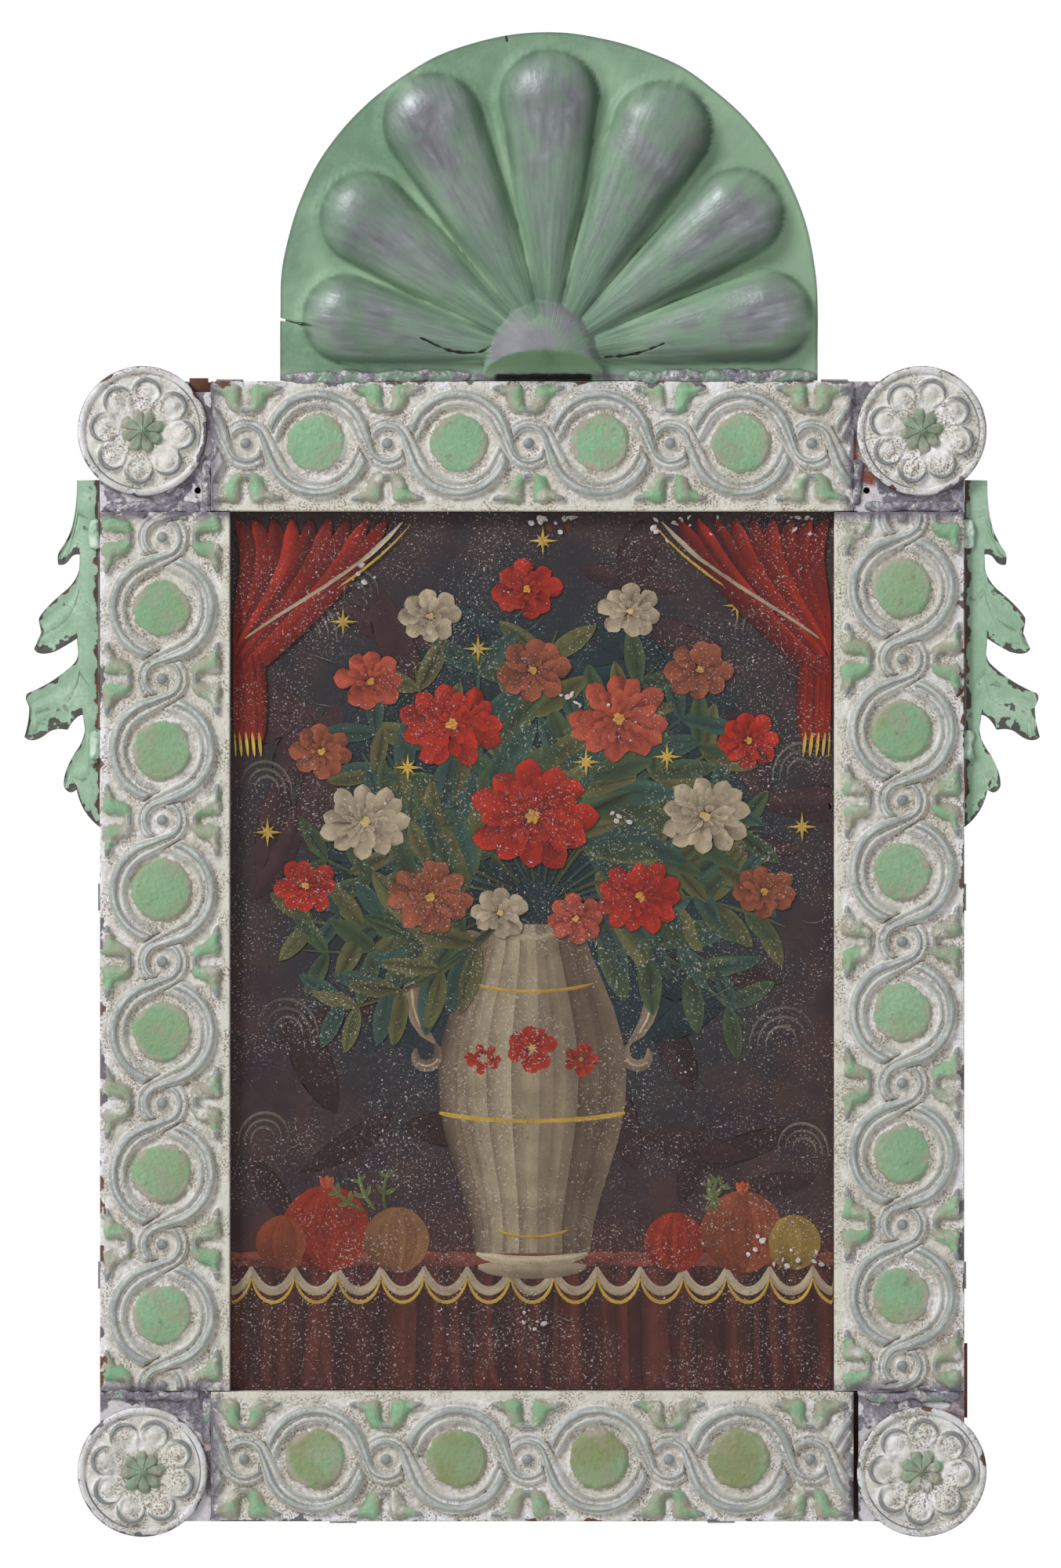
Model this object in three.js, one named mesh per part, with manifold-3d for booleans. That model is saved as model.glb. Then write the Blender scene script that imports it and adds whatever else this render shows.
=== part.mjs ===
// Framed retablo: a painting on tinplate in a soldered frame of pressed tin,
// with corner rosettes, a scallop-shell crest, two cut-tin leaves and a hanging ring.
// Every piece is drawn as seen from the front: x to the right, y up, z towards the viewer,
// with the wall side of the back plate at z = 0 and the middle of the painting at x = y = 0.
// The last lines turn that drawing upright and put the origin on the hanging ring's bar.
import * as THREE from "three";
import { mergeVertices } from "three/addons/utils/BufferGeometryUtils.js";
import Module from "manifold-3d";

const wasm = await Module();
wasm.setup();

// Driving dimensions, in millimetres and degrees.
const SIGHT_W = 223.6;
const SIGHT_H = 325.7;
const PANEL_W = 254;
const PANEL_H = 356;
const SHEET = 0.7;
const FIT = 0.3;
const BACK_PLATE = 0.8;
const OVERCUT = 1.5;
const OVERCUT_RIGHT = [-173, -145.4];
const OVERCUT_TOP = [-127, -120];
const PANEL_NAILS_X = [6.2, 13.5];
const PANEL_NAILS_Y = 157;
const PANEL_NAIL_R = 1.9;

// Pressed border: the strip, its edges folded back, and the stamp that repeats along it.
const STRIP_W = 48;
const STRIP_AXIS = 25;
const STRIP_FRONT = 8;
const RAIL_LENGTH = 237.6;
const STILE_LENGTH = 325;
const PITCH = 52.3;
const LARGE_RING = 16.75;
const SMALL_RING = 7.4;
const LARGE_BAND = 6.9;
const SMALL_BAND = 4.4;
const LARGE_RELIEF = 2.6;
const SMALL_RELIEF = 2;
const DISC_R = 11.3;
const DISC_RELIEF = 1.8;
const BOSS_R = 2.2;
const BOSS_RELIEF = 1.6;
const LEAF_RELIEF = 1.5;
const ROOT = 0.35;
const STAMP_END_MARGIN = 0.8;
const STAMP_SIDE_MARGIN = 0.6;

// Where a small ring falls from the middle of each strip, along the strip.
const PHASE = { top: -1.3, left: -3.75, bottom: 1.8, right: -3.55 };

// Corner plates and rosettes.
const CORNER_W = 40.7;
const CORNER_H = 48;
const TONGUE = 5;
const SLIT = 1.6;
const NAIL_R = 1.3;
const NAIL_AT = [123.7, 170.5];
const ROSETTE_R = 24;
const ROSETTE_IN = [15.8, 18.4];
const PETALS = 8;
const PETAL_AT = 14.5;
const PETAL_R = 4.5;

// Scallop-shell crest, measured from the middle of its foot.
const CREST_X = 6.2;
const CREST_R = 99.4;
const CREST_RISE = 29.4;
const CREST_FRONT = 7;
const CREST_SHEET = 0.9;
const HUB_Y = 8.7;
const DOME_X = -2;
const FOOT_BAND = 3.3;
const HUB_R = 22.4;
const HUB_TOP = 30.2;
const HUB_DEPTH = 14;
const HUB_CROWN = 10.1;
const LOBES_EACH_SIDE = 3;
const LOBE_STEP = 26.4;
const LOBE_START = 20;

// The seven hand-raised lobes from right to left: end of each from the edge, and its radius.
const LOBE_END_MARGIN = [19.2, 23.1, 24.2, 24.7, 20.8, 25.8, 25];
const LOBE_R = [17, 17.3, 18.7, 18.5, 18.7, 17.6, 16.5];
const LOBE_NECK_R = 6.6;
const LOBE_DEPTH = 11.5;
const LOBE_NECK_DEPTH = 5;
const TEAR_Y = [22.3, 23.5];
const TEAR_DEEP = 9;
const BRACE_AT = 95;
const BRACE_W = 5;
const BRACE = 0.6;
const BRACE_UP = 40;
const BRACE_DOWN = 20;

// Clips round the folded edges of the border: size, and places from the middle of each side.
const CLIP = 0.6;
const CLIP_W = 10;
const CLIP_LEG = 9;
const CLIP_FRONT = 4.2;
const CLIP_AT = { upper: 20, lower: -120, top: 112, bottom: 70 };

// Runs of solder: length, width and height of each kind, and where they start.
const BEAD = { stile: [33, 2.3, 1.1], rail: [15, 2.2, 1.1], crest: [68, 3, 1.5], leaf: [9, 2.6, 1.8] };
const STILE_BEAD_IN = 2.8;
const RAIL_BEAD_Y = 166;
const CREST_BEAD_OUT = 98;
const LEAF_TACK_Y = { upper: 150, lower: 72 };

// Hanging ring: a straight bar held in a tin strap, and a round bow.
const HANG_Y = 192;
const WIRE_R = 1.1;
const STRAP = 0.5;
const STRAP_W = 9;
const STRAP_BORE = 1.5;
const BAR_HALF = 8;
const BOW_R = 11;
const BOW_DROP = 8;
const STRAP_LEG = 10;
const BAR_Z = -(FIT + STRAP + STRAP_BORE);

const RAIL_Y = SIGHT_H / 2 + STRIP_AXIS;
const STILE_X = SIGHT_W / 2 + STRIP_AXIS;
const HALF_W = SIGHT_W / 2 + STRIP_W;
const HALF_H = SIGHT_H / 2 + STRIP_W;
const PANEL_FRONT = BACK_PLATE + FIT + SHEET;
const rad = THREE.MathUtils.degToRad;
const at = (x, y, z) => new THREE.Vector3(x, y, z);
const lerp = THREE.MathUtils.lerp;

// Finishes, by the colour each one has on the object.
const FINISH = {
  whitewash: new THREE.MeshStandardMaterial({ color: "#b4b3ac", roughness: 0.75, metalness: 0.1 }),
  crestGreen: new THREE.MeshStandardMaterial({ color: "#788c7e", roughness: 0.6, metalness: 0.1 }),
  leafGreen: new THREE.MeshStandardMaterial({ color: "#93b098", roughness: 0.55, metalness: 0 }),
  solder: new THREE.MeshStandardMaterial({ color: "#6d6971", roughness: 0.6, metalness: 0.6 }),
  bareTin: new THREE.MeshStandardMaterial({ color: "#8b8d90", roughness: 0.5, metalness: 0.8 }),
  rust: new THREE.MeshStandardMaterial({ color: "#6e4a42", roughness: 0.85, metalness: 0.3 }),
  painting: new THREE.MeshStandardMaterial({ color: "#4f3f3f", roughness: 0.6, metalness: 0 }),
};

// A closed surface as a solid that can be joined and cut.
function solid(geometry) {
  const bare = geometry.clone();
  bare.deleteAttribute("normal");
  bare.deleteAttribute("uv");
  const merged = mergeVertices(bare, 1e-4);
  return new wasm.Manifold(
    new wasm.Mesh({
      numProp: 3,
      vertProperties: merged.attributes.position.array,
      triVerts: new Uint32Array(merged.index.array),
    }),
  );
}

function geometryOf(body) {
  const mesh = body.getMesh();
  return new THREE.BufferGeometry()
    .setAttribute("position", new THREE.BufferAttribute(mesh.vertProperties, 3))
    .setIndex(new THREE.BufferAttribute(mesh.triVerts, 1));
}

const join = (bodies) => bodies.reduce((all, body) => all.add(body));

function moved(geometry, x, y, z, turn = 0) {
  return geometry.clone().rotateZ(turn).translate(x, y, z);
}

// A block from its lowest to its highest corner.
function block(x0, y0, z0, x1, y1, z1) {
  const box = new THREE.BoxGeometry(x1 - x0, y1 - y0, z1 - z0);
  return box.translate((x0 + x1) / 2, (y0 + y1) / 2, (z0 + z1) / 2);
}

// A flat plate cut to an outline of [x, y] corners or to a ready shape.
function plate(outline, z0, z1, curveSegments = 4) {
  const shape = Array.isArray(outline)
    ? new THREE.Shape(outline.map(([x, y]) => new THREE.Vector2(x, y)))
    : outline;
  const options = { depth: z1 - z0, bevelEnabled: false, curveSegments };
  return new THREE.ExtrudeGeometry(shape, options).translate(0, 0, z0);
}

// A solid swept through stations, each holding the section's corners in space.
// The section runs anticlockwise seen from the last station; looped joins last to first.
function sweep(stations, section, looped = false) {
  const corners = section.length;
  const points = stations.flat();
  const triangles = [];
  const runs = looped ? stations.length : stations.length - 1;
  for (let i = 0; i < runs; i++) {
    for (let j = 0; j < corners; j++) {
      const next = (i + 1) % stations.length;
      const side = (j + 1) % corners;
      const [a, b] = [i * corners + j, i * corners + side];
      const [c, d] = [next * corners + side, next * corners + j];
      triangles.push(a, b, c, a, c, d);
    }
  }
  if (!looped) {
    const flat = section.map(([x, y]) => new THREE.Vector2(x, y));
    const last = (stations.length - 1) * corners;
    for (const [a, b, c] of THREE.ShapeUtils.triangulateShape(flat, [])) {
      triangles.push(c, b, a, last + a, last + b, last + c);
    }
  }
  return new THREE.BufferGeometry().setFromPoints(points).setIndex(triangles);
}

// Strand of the guilloche, from just before the top of a large ring, across, to the foot of the
// next small ring. Across, it has a thin ridge, a groove and a broad ridge.
const STRAND = [[-0.62, 0.8], [-0.2, 0.4], [0.38, 1]];
const FOOT = 1.06;

function strandStation(x, y, nx, ny, small) {
  const half = lerp(LARGE_BAND, SMALL_BAND, small) / 2;
  const relief = lerp(LARGE_RELIEF, SMALL_RELIEF, small);
  const ridge = STRAND.map(([across, up]) => at(x + nx * across * half, y + ny * across * half, up * relief));
  const left = at(x - nx * FOOT * half, y - ny * FOOT * half, -ROOT);
  const right = at(x + nx * FOOT * half, y + ny * FOOT * half, -ROOT);
  return [left, right, ...ridge.reverse()];
}

function strand() {
  const lean = Math.acos((LARGE_RING + SMALL_RING) / (PITCH / 2));
  const largeSteps = 5;
  const smallSteps = 3;
  const runOut = 4.5;
  const stations = [];
  const start = Math.PI - lean;
  const [sx, sy] = [LARGE_RING * Math.cos(start), LARGE_RING * Math.sin(start)];
  const [nx, ny] = [Math.cos(start), Math.sin(start)];
  stations.push(strandStation(sx - runOut * ny, sy + runOut * nx, nx, ny, 0.4));
  for (let i = 0; i <= largeSteps; i++) {
    const a = lerp(start, lean, i / largeSteps);
    const [c, s] = [Math.cos(a), Math.sin(a)];
    stations.push(strandStation(LARGE_RING * c, LARGE_RING * s, c, s, 0));
  }
  for (let i = 0; i <= smallSteps; i++) {
    const a = lerp(Math.PI + lean, 2 * Math.PI - lean, i / smallSteps);
    const [c, s] = [Math.cos(a), Math.sin(a)];
    stations.push(strandStation(PITCH / 2 + SMALL_RING * c, SMALL_RING * s, -c, -s, 1));
  }
  const section = [[-FOOT, -1], [FOOT, -1], ...[...STRAND].reverse()];
  return { body: solid(sweep(stations, section)), lean };
}

// The strand with both ends cut clear of the strand that passes over it.
function cutStrand() {
  const { body, lean } = strand();
  const over = SMALL_BAND / 2 + 1.1;
  const crossing = LARGE_RING / Math.cos(lean);
  const way = new THREE.BoxGeometry(16, 2 * over, 12);
  const turn = lean - Math.PI / 2;
  const before = solid(moved(way, -crossing, 0, 0, turn));
  const after = solid(moved(way, PITCH - crossing, 0, 0, turn));
  return body.subtract(before).subtract(after);
}

// Raised round with a sloping shoulder, seated in the ground sheet.
function raisedRound(radius, relief, sides) {
  const profile = [[0, -ROOT], [radius + ROOT / 2, -ROOT], [radius * 0.84, relief], [0, relief]];
  const points = profile.map(([r, z]) => new THREE.Vector2(r, z));
  return new THREE.LatheGeometry(points, sides).rotateX(Math.PI / 2);
}

// Small pointed boss, seated in the ground sheet.
function pointedBoss(radius, relief, base) {
  const cone = new THREE.ConeGeometry(radius + ROOT, relief + ROOT, 6).rotateX(Math.PI / 2);
  return solid(cone.translate(0, 0, base + (relief - ROOT) / 2));
}

// Half of the acanthus pair that fills the space above or below a small ring.
const HALF_LEAF = [[-0.5, 11.2], [-2.2, 22], [-6.1, 19.2], [-12, 21.4], [-7.4, 15]];

function leafFour() {
  const half = plate(HALF_LEAF, -ROOT, LEAF_RELIEF);
  const left = solid(half);
  const pair = left.add(left.mirror([1, 0, 0]));
  return [pair, pair.mirror([0, 1, 0])];
}

// One pressed strip: front sheet, both edges folded back, and the stamped relief.
function borderStrip(length, phase) {
  const inner = -STRIP_AXIS;
  const outer = STRIP_W - STRIP_AXIS;
  const half = length / 2;
  const innerFoot = PANEL_FRONT + FIT - STRIP_FRONT;
  const outerFoot = BACK_PLATE + FIT - STRIP_FRONT;
  const channel = join([
    solid(block(-half, inner, -SHEET, half, outer, 0)),
    solid(block(-half, inner, innerFoot, half, inner + SHEET, 0)),
    solid(block(-half, outer - SHEET, outerFoot, half, outer, 0)),
  ]);
  const over = cutStrand();
  const back = over.rotate([0, 0, 180]);
  const disc = solid(raisedRound(DISC_R, DISC_RELIEF, 8));
  const boss = pointedBoss(BOSS_R, BOSS_RELIEF, 0);
  const leaves = leafFour();
  const relief = [];
  const turns = Math.ceil(half / PITCH) + 1;
  for (let k = -turns; k <= turns; k++) {
    const smallAt = phase + k * PITCH;
    const largeAt = smallAt + PITCH / 2;
    relief.push(over.translate([largeAt, 0, 0]), back.translate([largeAt, 0, 0]));
    if (Math.abs(largeAt) < half - DISC_R / 2) relief.push(disc.translate([largeAt, 0, 0]));
    if (Math.abs(smallAt) < half) relief.push(boss.translate([smallAt, 0, 0]));
    if (Math.abs(smallAt) < half) relief.push(...leaves.map((leaf) => leaf.translate([smallAt, 0, 0])));
  }
  const reach = half - STAMP_END_MARGIN;
  const [low, high] = [inner + STAMP_SIDE_MARGIN, outer - STAMP_SIDE_MARGIN];
  const field = solid(block(-reach, low, -2 * ROOT, reach, high, 2 * LARGE_RELIEF));
  return geometryOf(channel.add(join(relief).intersect(field)));
}

// Stamped rosette: a disc with a rolled rim, eight petal cups and a leafy star with a boss.
function rosette() {
  const rim = [[0, 0], [23, 0], [ROSETTE_R, 1], [23, 2.3], [21.4, 0.9], [0, 0.9]];
  const base = new THREE.LatheGeometry(rim.map(([r, z]) => new THREE.Vector2(r, z)), 16).rotateX(Math.PI / 2);
  const cupSection = [[-0.9, -0.4], [0.9, -0.4], [0, 1.7]];
  const steps = 4;
  const arch = [];
  for (let i = 0; i <= steps; i++) {
    const a = lerp(rad(-140), rad(140), i / steps);
    const [nx, ny] = [Math.cos(a), Math.sin(a)];
    arch.push(cupSection.map(([o, up]) => at(PETAL_AT + (PETAL_R - o) * nx, (PETAL_R - o) * ny, 0.9 + up)));
  }
  const cup = solid(sweep(arch, cupSection));
  const star = [];
  for (const [size, z] of [[1, 0.5], [0.3, 2.3]]) {
    const ring = [];
    for (let i = 0; i < 2 * PETALS; i++) {
      const r = size * (i % 2 ? 4.7 : 8);
      const a = (i * Math.PI) / PETALS + Math.PI / PETALS;
      ring.push(at(r * Math.cos(a), r * Math.sin(a), z));
    }
    star.push(ring);
  }
  const parts = [solid(base), solid(sweep(star, star[0].map((p) => [p.x, p.y])))];
  for (let i = 0; i < PETALS; i++) parts.push(cup.rotate([0, 0, (360 / PETALS) * i]));
  parts.push(pointedBoss(1.9, 1.4, 2.2));
  return geometryOf(join(parts));
}

// Corner plate, drawn for the top right corner: the outer corner is at the origin.
function cornerPlate({ nail = false, notch = 0, slit = false }) {
  const inset = 1.3;
  const side = slit ? CORNER_W - SLIT : CORNER_W;
  const top = STRIP_FRONT - SHEET - FIT;
  const low = top - SHEET;
  const foot = BACK_PLATE + FIT;
  const pieces = [
    block(-side, -CORNER_H, low, 0, 0, top),
    block(-CORNER_W + inset, -CORNER_H - TONGUE, low, -inset, -CORNER_H + 1, top),
    block(-side, -SHEET, foot, 0, 0, top),
    block(-SHEET, -CORNER_H, foot, 0, 0, top),
  ];
  if (!slit) pieces.push(block(-CORNER_W - TONGUE, -CORNER_H + inset, low, -CORNER_W + 1, -inset, top));
  let body = join(pieces.map(solid));
  if (notch) body = body.subtract(solid(block(-CORNER_W - 0.1, -4, 0, -CORNER_W + notch, 1, STRIP_FRONT)));
  if (nail) {
    const hole = new THREE.CylinderGeometry(NAIL_R, NAIL_R, 4, 8).rotateX(Math.PI / 2);
    body = body.subtract(solid(moved(hole, NAIL_AT[0] - HALF_W, NAIL_AT[1] - HALF_H, top)));
  }
  return geometryOf(body);
}

// Distance from the hub to the crest's edge, at an angle from the foot line.
function crestReach(angle) {
  const up = CREST_RISE - HUB_Y;
  const [c, s] = [Math.cos(angle), Math.sin(angle)];
  const round = up * s + Math.sqrt(CREST_R ** 2 - (up * c) ** 2);
  const side = c === 0 ? Infinity : CREST_R / Math.abs(c);
  return s * round > up ? round : side;
}

// Height of the pressed shell over its flat field: seven club-shaped lobes, and over their
// meeting point half an ellipsoid cut below by a slanting plane.
function crestHeight(x, y) {
  const [hx, hy] = [(x - DOME_X) / HUB_R, (y - 0.6) / (HUB_TOP - 0.6)];
  const dome = HUB_DEPTH * Math.sqrt(Math.max(0, 1 - hx * hx - hy * hy));
  const under = Math.max(0, ((y - 0.6) * HUB_DEPTH * 0.94) / HUB_CROWN);
  let height = Math.min(dome, under);
  for (let i = -LOBES_EACH_SIDE; i <= LOBES_EACH_SIDE; i++) {
    const a = rad(90 + i * LOBE_STEP);
    const end = crestReach(a) - LOBE_END_MARGIN[i + LOBES_EACH_SIDE];
    const along = x * Math.cos(a) + (y - HUB_Y) * Math.sin(a);
    const across = y === HUB_Y && x === 0 ? 0 : x * Math.sin(a) - (y - HUB_Y) * Math.cos(a);
    const t = THREE.MathUtils.clamp((along - LOBE_START) / (end - LOBE_START), 0, 1);
    const radius = lerp(LOBE_NECK_R, LOBE_R[i + LOBES_EACH_SIDE], t);
    const beyond = along - lerp(LOBE_START, end, t);
    const off = Math.hypot(across, beyond) / radius;
    height = Math.max(height, lerp(LOBE_NECK_DEPTH, LOBE_DEPTH, t) * Math.sqrt(Math.max(0, 1 - off * off)));
  }
  return height;
}

// One face of the crest as rows of points from the hub to the edge. A row runs along each side
// of the foot, and the others at the lobes' crowns, flanks and valleys.
function crestRows(lift) {
  const shares = [0, 0.09, 0.17, 0.28, 0.48, 0.7, 0.88, 1];
  const angles = [];
  for (let i = -LOBES_EACH_SIDE; i <= LOBES_EACH_SIDE; i++) {
    const middle = 90 + i * LOBE_STEP;
    angles.push(...[-9.8, -5, 0, 5, 9.8].map((side) => middle + side));
    if (i < LOBES_EACH_SIDE) angles.push(middle + LOBE_STEP / 2);
  }
  const row = (degrees, up) =>
    shares.map((share) => {
      const r = share * crestReach(rad(degrees));
      const [x, y] = [r * Math.cos(rad(degrees)), up + r * Math.sin(rad(degrees))];
      return at(x, y, crestHeight(x, y) + lift);
    });
  const fan = angles.filter((angle) => angle > 2 && angle < 178).map((angle) => row(angle, HUB_Y));
  const foot = [0, FOOT_BAND, HUB_Y];
  return [...foot.map((up) => row(0, up)), ...fan, ...foot.reverse().map((up) => row(180, up))];
}

// The crest: one pressed sheet with an open back, torn a little at its left edge, its foot
// folded back over the frame.
function crest() {
  const front = crestRows(0);
  const back = crestRows(-CREST_SHEET);
  const corners = [];
  for (let i = 0; i < front.length - 1; i++) {
    for (let j = 0; j < front[i].length - 1; j++) {
      const patch = (rows) => [rows[i][j], rows[i][j + 1], rows[i + 1][j + 1], rows[i + 1][j]];
      const [a, b, c, d] = patch(front);
      corners.push(a, b, c, a, c, d);
      const [e, f, g, h] = patch(back);
      corners.push(e, g, f, e, h, g);
    }
  }
  const rim = (rows) => {
    const edge = rows.map((row) => row.at(-1));
    return [...edge, ...rows.at(-1).slice(0, -1).reverse(), ...rows[0].slice(1)];
  };
  const [top, bottom] = [rim(front), rim(back)];
  for (let i = 0; i < top.length - 1; i++) {
    corners.push(top[i], bottom[i], bottom[i + 1], top[i], bottom[i + 1], top[i + 1]);
  }
  const shell = solid(new THREE.BufferGeometry().setFromPoints(corners));
  const fold = block(-CREST_R + 1, 0, BACK_PLATE + 0.4 - CREST_FRONT, CREST_R - 1, SHEET, -CREST_SHEET / 2);
  const wedge = [[-CREST_R - 1, TEAR_Y[0]], [TEAR_DEEP - CREST_R, TEAR_Y[1]], [-CREST_R - 1, TEAR_Y[1]]];
  const tear = solid(plate(wedge, -LOBE_DEPTH, LOBE_DEPTH));
  return geometryOf(shell.subtract(tear).add(solid(fold)));
}

// Strap from the back of the crest, round its fold, down the back plate.
function crestBrace() {
  const crestBack = CREST_FRONT - CREST_SHEET - FIT;
  const profile = [
    [BRACE_UP, crestBack],
    [BRACE_UP, crestBack - BRACE],
    [5.4, crestBack - BRACE],
    [2.1, -FIT - BRACE],
    [-BRACE_DOWN, -FIT - BRACE],
    [-BRACE_DOWN, -FIT],
    [1.6, -FIT],
    [5, crestBack],
  ];
  return acrossX(plate(profile, -BRACE_W / 2, BRACE_W / 2));
}

// Turns a profile drawn as [y, z] so that its thickness runs along x.
function acrossX(geometry) {
  const turn = new THREE.Matrix4().makeBasis(at(0, 1, 0), at(0, 0, 1), at(1, 0, 0));
  return geometry.applyMatrix4(turn);
}

// Acanthus leaf cut from sheet, drawn for the right side from its top inner corner.
// Each entry bends the edge through a control point to its next point, going down the leaf.
const LEAF_EDGE = [
  [8.6, -12, 11.2, -19.5],
  [13.3, -24, 15.4, -26.8],
  [16.2, -28.8, 15.6, -31.4],
  [13, -32, 11.4, -29.4],
  [10, -27.2, 7.7, -27.6],
  [6.6, -35, 12.2, -40.4],
  [20.2, -46.8, 22.8, -51.2],
  [23, -54, 21.2, -55],
  [22.8, -58.6, 24.6, -62.6],
  [23, -65.6, 16.9, -63.6],
  [12, -61, 8.7, -58.7],
  [7.2, -64, 9.4, -67.6],
  [16.8, -75, 27, -79],
  [28.6, -80.8, 26.4, -83.4],
  [26, -88.6, 28.2, -95.2],
  [25, -98.4, 19.2, -93.4],
  [16.4, -91.6, 12.2, -92.6],
  [9.4, -87.2, 6.6, -87],
  [4.4, -93, 8, -99],
  [14, -107.4, 13.6, -113.4],
  [11.6, -117.4, 8.8, -114.6],
  [7.2, -123.4, FIT, -128.6],
];
const LEAF_TOP = 174.5;
const LEAF_FRONT = 4.6;

function leaf() {
  const shape = new THREE.Shape();
  shape.moveTo(FIT, 0);
  shape.lineTo(8.7, -0.2);
  for (const [cx, cy, x, y] of LEAF_EDGE) shape.quadraticCurveTo(cx, cy, x, y);
  const sheet = solid(plate(shape, LEAF_FRONT - SHEET, LEAF_FRONT, 2));
  const fold = solid(block(FIT, -112, BACK_PLATE + 0.6, FIT + SHEET, -8, LEAF_FRONT - 0.2));
  return geometryOf(sheet.add(fold));
}

// Run of solder in a corner: straight against x = 0, along +y, with an uneven free edge.
function bead(length, width, height, unevenness) {
  const section = [[0, 0], [width, 0], [0.7 * width, 0.7 * height], [0, height]];
  const runs = Math.max(4, Math.round(length / 9));
  const stations = [];
  for (let i = 0; i <= runs; i++) {
    const end = i === 0 || i === runs ? 0.35 : 1;
    const swell = end * (0.8 + 0.2 * Math.sin(unevenness + 2.3 * i));
    stations.push(section.map(([x, z]) => at(x * swell, (length * i) / runs, z * swell)));
  }
  return sweep(stations.reverse(), section);
}

// Clip that holds the back plate: one leg up the folded edge of the border, one behind.
function clip(half, along) {
  const reach = half + FIT;
  const [y0, y1] = [along - CLIP_W / 2, along + CLIP_W / 2];
  const outerLeg = solid(block(reach, y0, -FIT - CLIP, reach + CLIP, y1, CLIP_FRONT));
  const rearLeg = solid(block(half - CLIP_LEG, y0, -FIT - CLIP, reach + CLIP / 2, y1, -FIT));
  return geometryOf(outerLeg.add(rearLeg));
}

// Back plate: a rectangle with two places where it was cut a little too large.
function backPlate() {
  return geometryOf(
    join([
      solid(block(-HALF_W, -HALF_H, 0, HALF_W, HALF_H, BACK_PLATE)),
      solid(block(HALF_W - 1, OVERCUT_RIGHT[0], 0, HALF_W + OVERCUT, OVERCUT_RIGHT[1], BACK_PLATE)),
      solid(block(OVERCUT_TOP[0], HALF_H - 1, 0, OVERCUT_TOP[1], HALF_H + OVERCUT, BACK_PLATE)),
    ]),
  );
}

// The painted sheet, with two old nail holes near its top edge.
function paintedPanel() {
  const [x, y] = [PANEL_W / 2, PANEL_H / 2];
  const corners = [[-x, -y], [x, -y], [x, y], [-x, y]];
  const shape = new THREE.Shape(corners.map(([a, b]) => new THREE.Vector2(a, b)));
  for (const nailX of PANEL_NAILS_X) {
    shape.holes.push(new THREE.Path().absarc(nailX, PANEL_NAILS_Y, PANEL_NAIL_R, 0, 2 * Math.PI));
  }
  return plate(shape, PANEL_FRONT - SHEET, PANEL_FRONT, 5);
}

// Strap bent round the ring's bar, both legs on the back plate; drawn from the bar's middle.
function hangerStrap() {
  const [out, bore] = [STRAP_BORE + STRAP, STRAP_BORE];
  const shape = new THREE.Shape();
  shape.absarc(0, 0, out, Math.PI / 2, (-3 * Math.PI) / 4, true);
  shape.lineTo(-4.4, out - 2 * STRAP);
  shape.lineTo(STRAP - STRAP_LEG, out - 2 * STRAP);
  shape.lineTo(STRAP - STRAP_LEG, out - STRAP);
  shape.lineTo(-STRAP_LEG, out - STRAP);
  shape.lineTo(-STRAP_LEG, out);
  const hole = new THREE.Shape();
  hole.absarc(0, 0, bore, Math.PI / 2, (-3 * Math.PI) / 4, true);
  hole.lineTo(-3.7, bore);
  const bent = solid(acrossX(plate(shape, -STRAP_W / 2, STRAP_W / 2, 5)));
  return geometryOf(bent.subtract(solid(acrossX(plate(hole, -STRAP_W, STRAP_W, 5)))));
}

// Ring of round wire with a straight bar, drawn from the bar's middle, hanging down.
function hangingRing() {
  const path = [];
  const arc = (cx, cy, r, from, to, steps) => {
    for (let i = 0; i <= steps; i++) {
      const a = rad(lerp(from, to, i / steps));
      path.push([cx + r * Math.cos(a), cy + r * Math.sin(a), Math.cos(a), Math.sin(a)]);
    }
  };
  const corner = BOW_R - BAR_HALF;
  arc(BAR_HALF, -corner, corner, 90, 0, 3);
  arc(0, -BOW_DROP, BOW_R, 0, -180, 9);
  arc(-BAR_HALF, -corner, corner, 180, 90, 3);
  const section = [];
  for (let i = 0; i < 6; i++) section.push([Math.cos(rad(60 * i)), Math.sin(rad(60 * i))]);
  const stations = path.map(([x, y, nx, ny]) =>
    section.map(([out, up]) => at(x + nx * out * WIRE_R, y + ny * out * WIRE_R, up * WIRE_R)),
  );
  return sweep(stations, section, true);
}

const front = new THREE.Group();

function piece(name, geometry, finish, x = 0, y = 0, z = 0, turn = 0) {
  const mesh = new THREE.Mesh(geometry, finish.clone());
  mesh.name = name;
  mesh.position.set(x, y, z);
  mesh.rotation.z = turn;
  front.add(mesh);
  return mesh;
}

piece("back_plate", backPlate(), FINISH.rust);
piece("painted_panel", paintedPanel(), FINISH.painting);

const quarter = Math.PI / 2;
const rail = (side) => borderStrip(RAIL_LENGTH, PHASE[side]);
const stile = (side) => borderStrip(STILE_LENGTH, PHASE[side]);
piece("border_top", rail("top"), FINISH.whitewash, 0, RAIL_Y, STRIP_FRONT);
piece("border_bottom", rail("bottom"), FINISH.whitewash, 0, -RAIL_Y, STRIP_FRONT, 2 * quarter);
piece("border_left", stile("left"), FINISH.whitewash, -STILE_X, 0, STRIP_FRONT, quarter);
piece("border_right", stile("right"), FINISH.whitewash, STILE_X, 0, STRIP_FRONT, -quarter);

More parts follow.
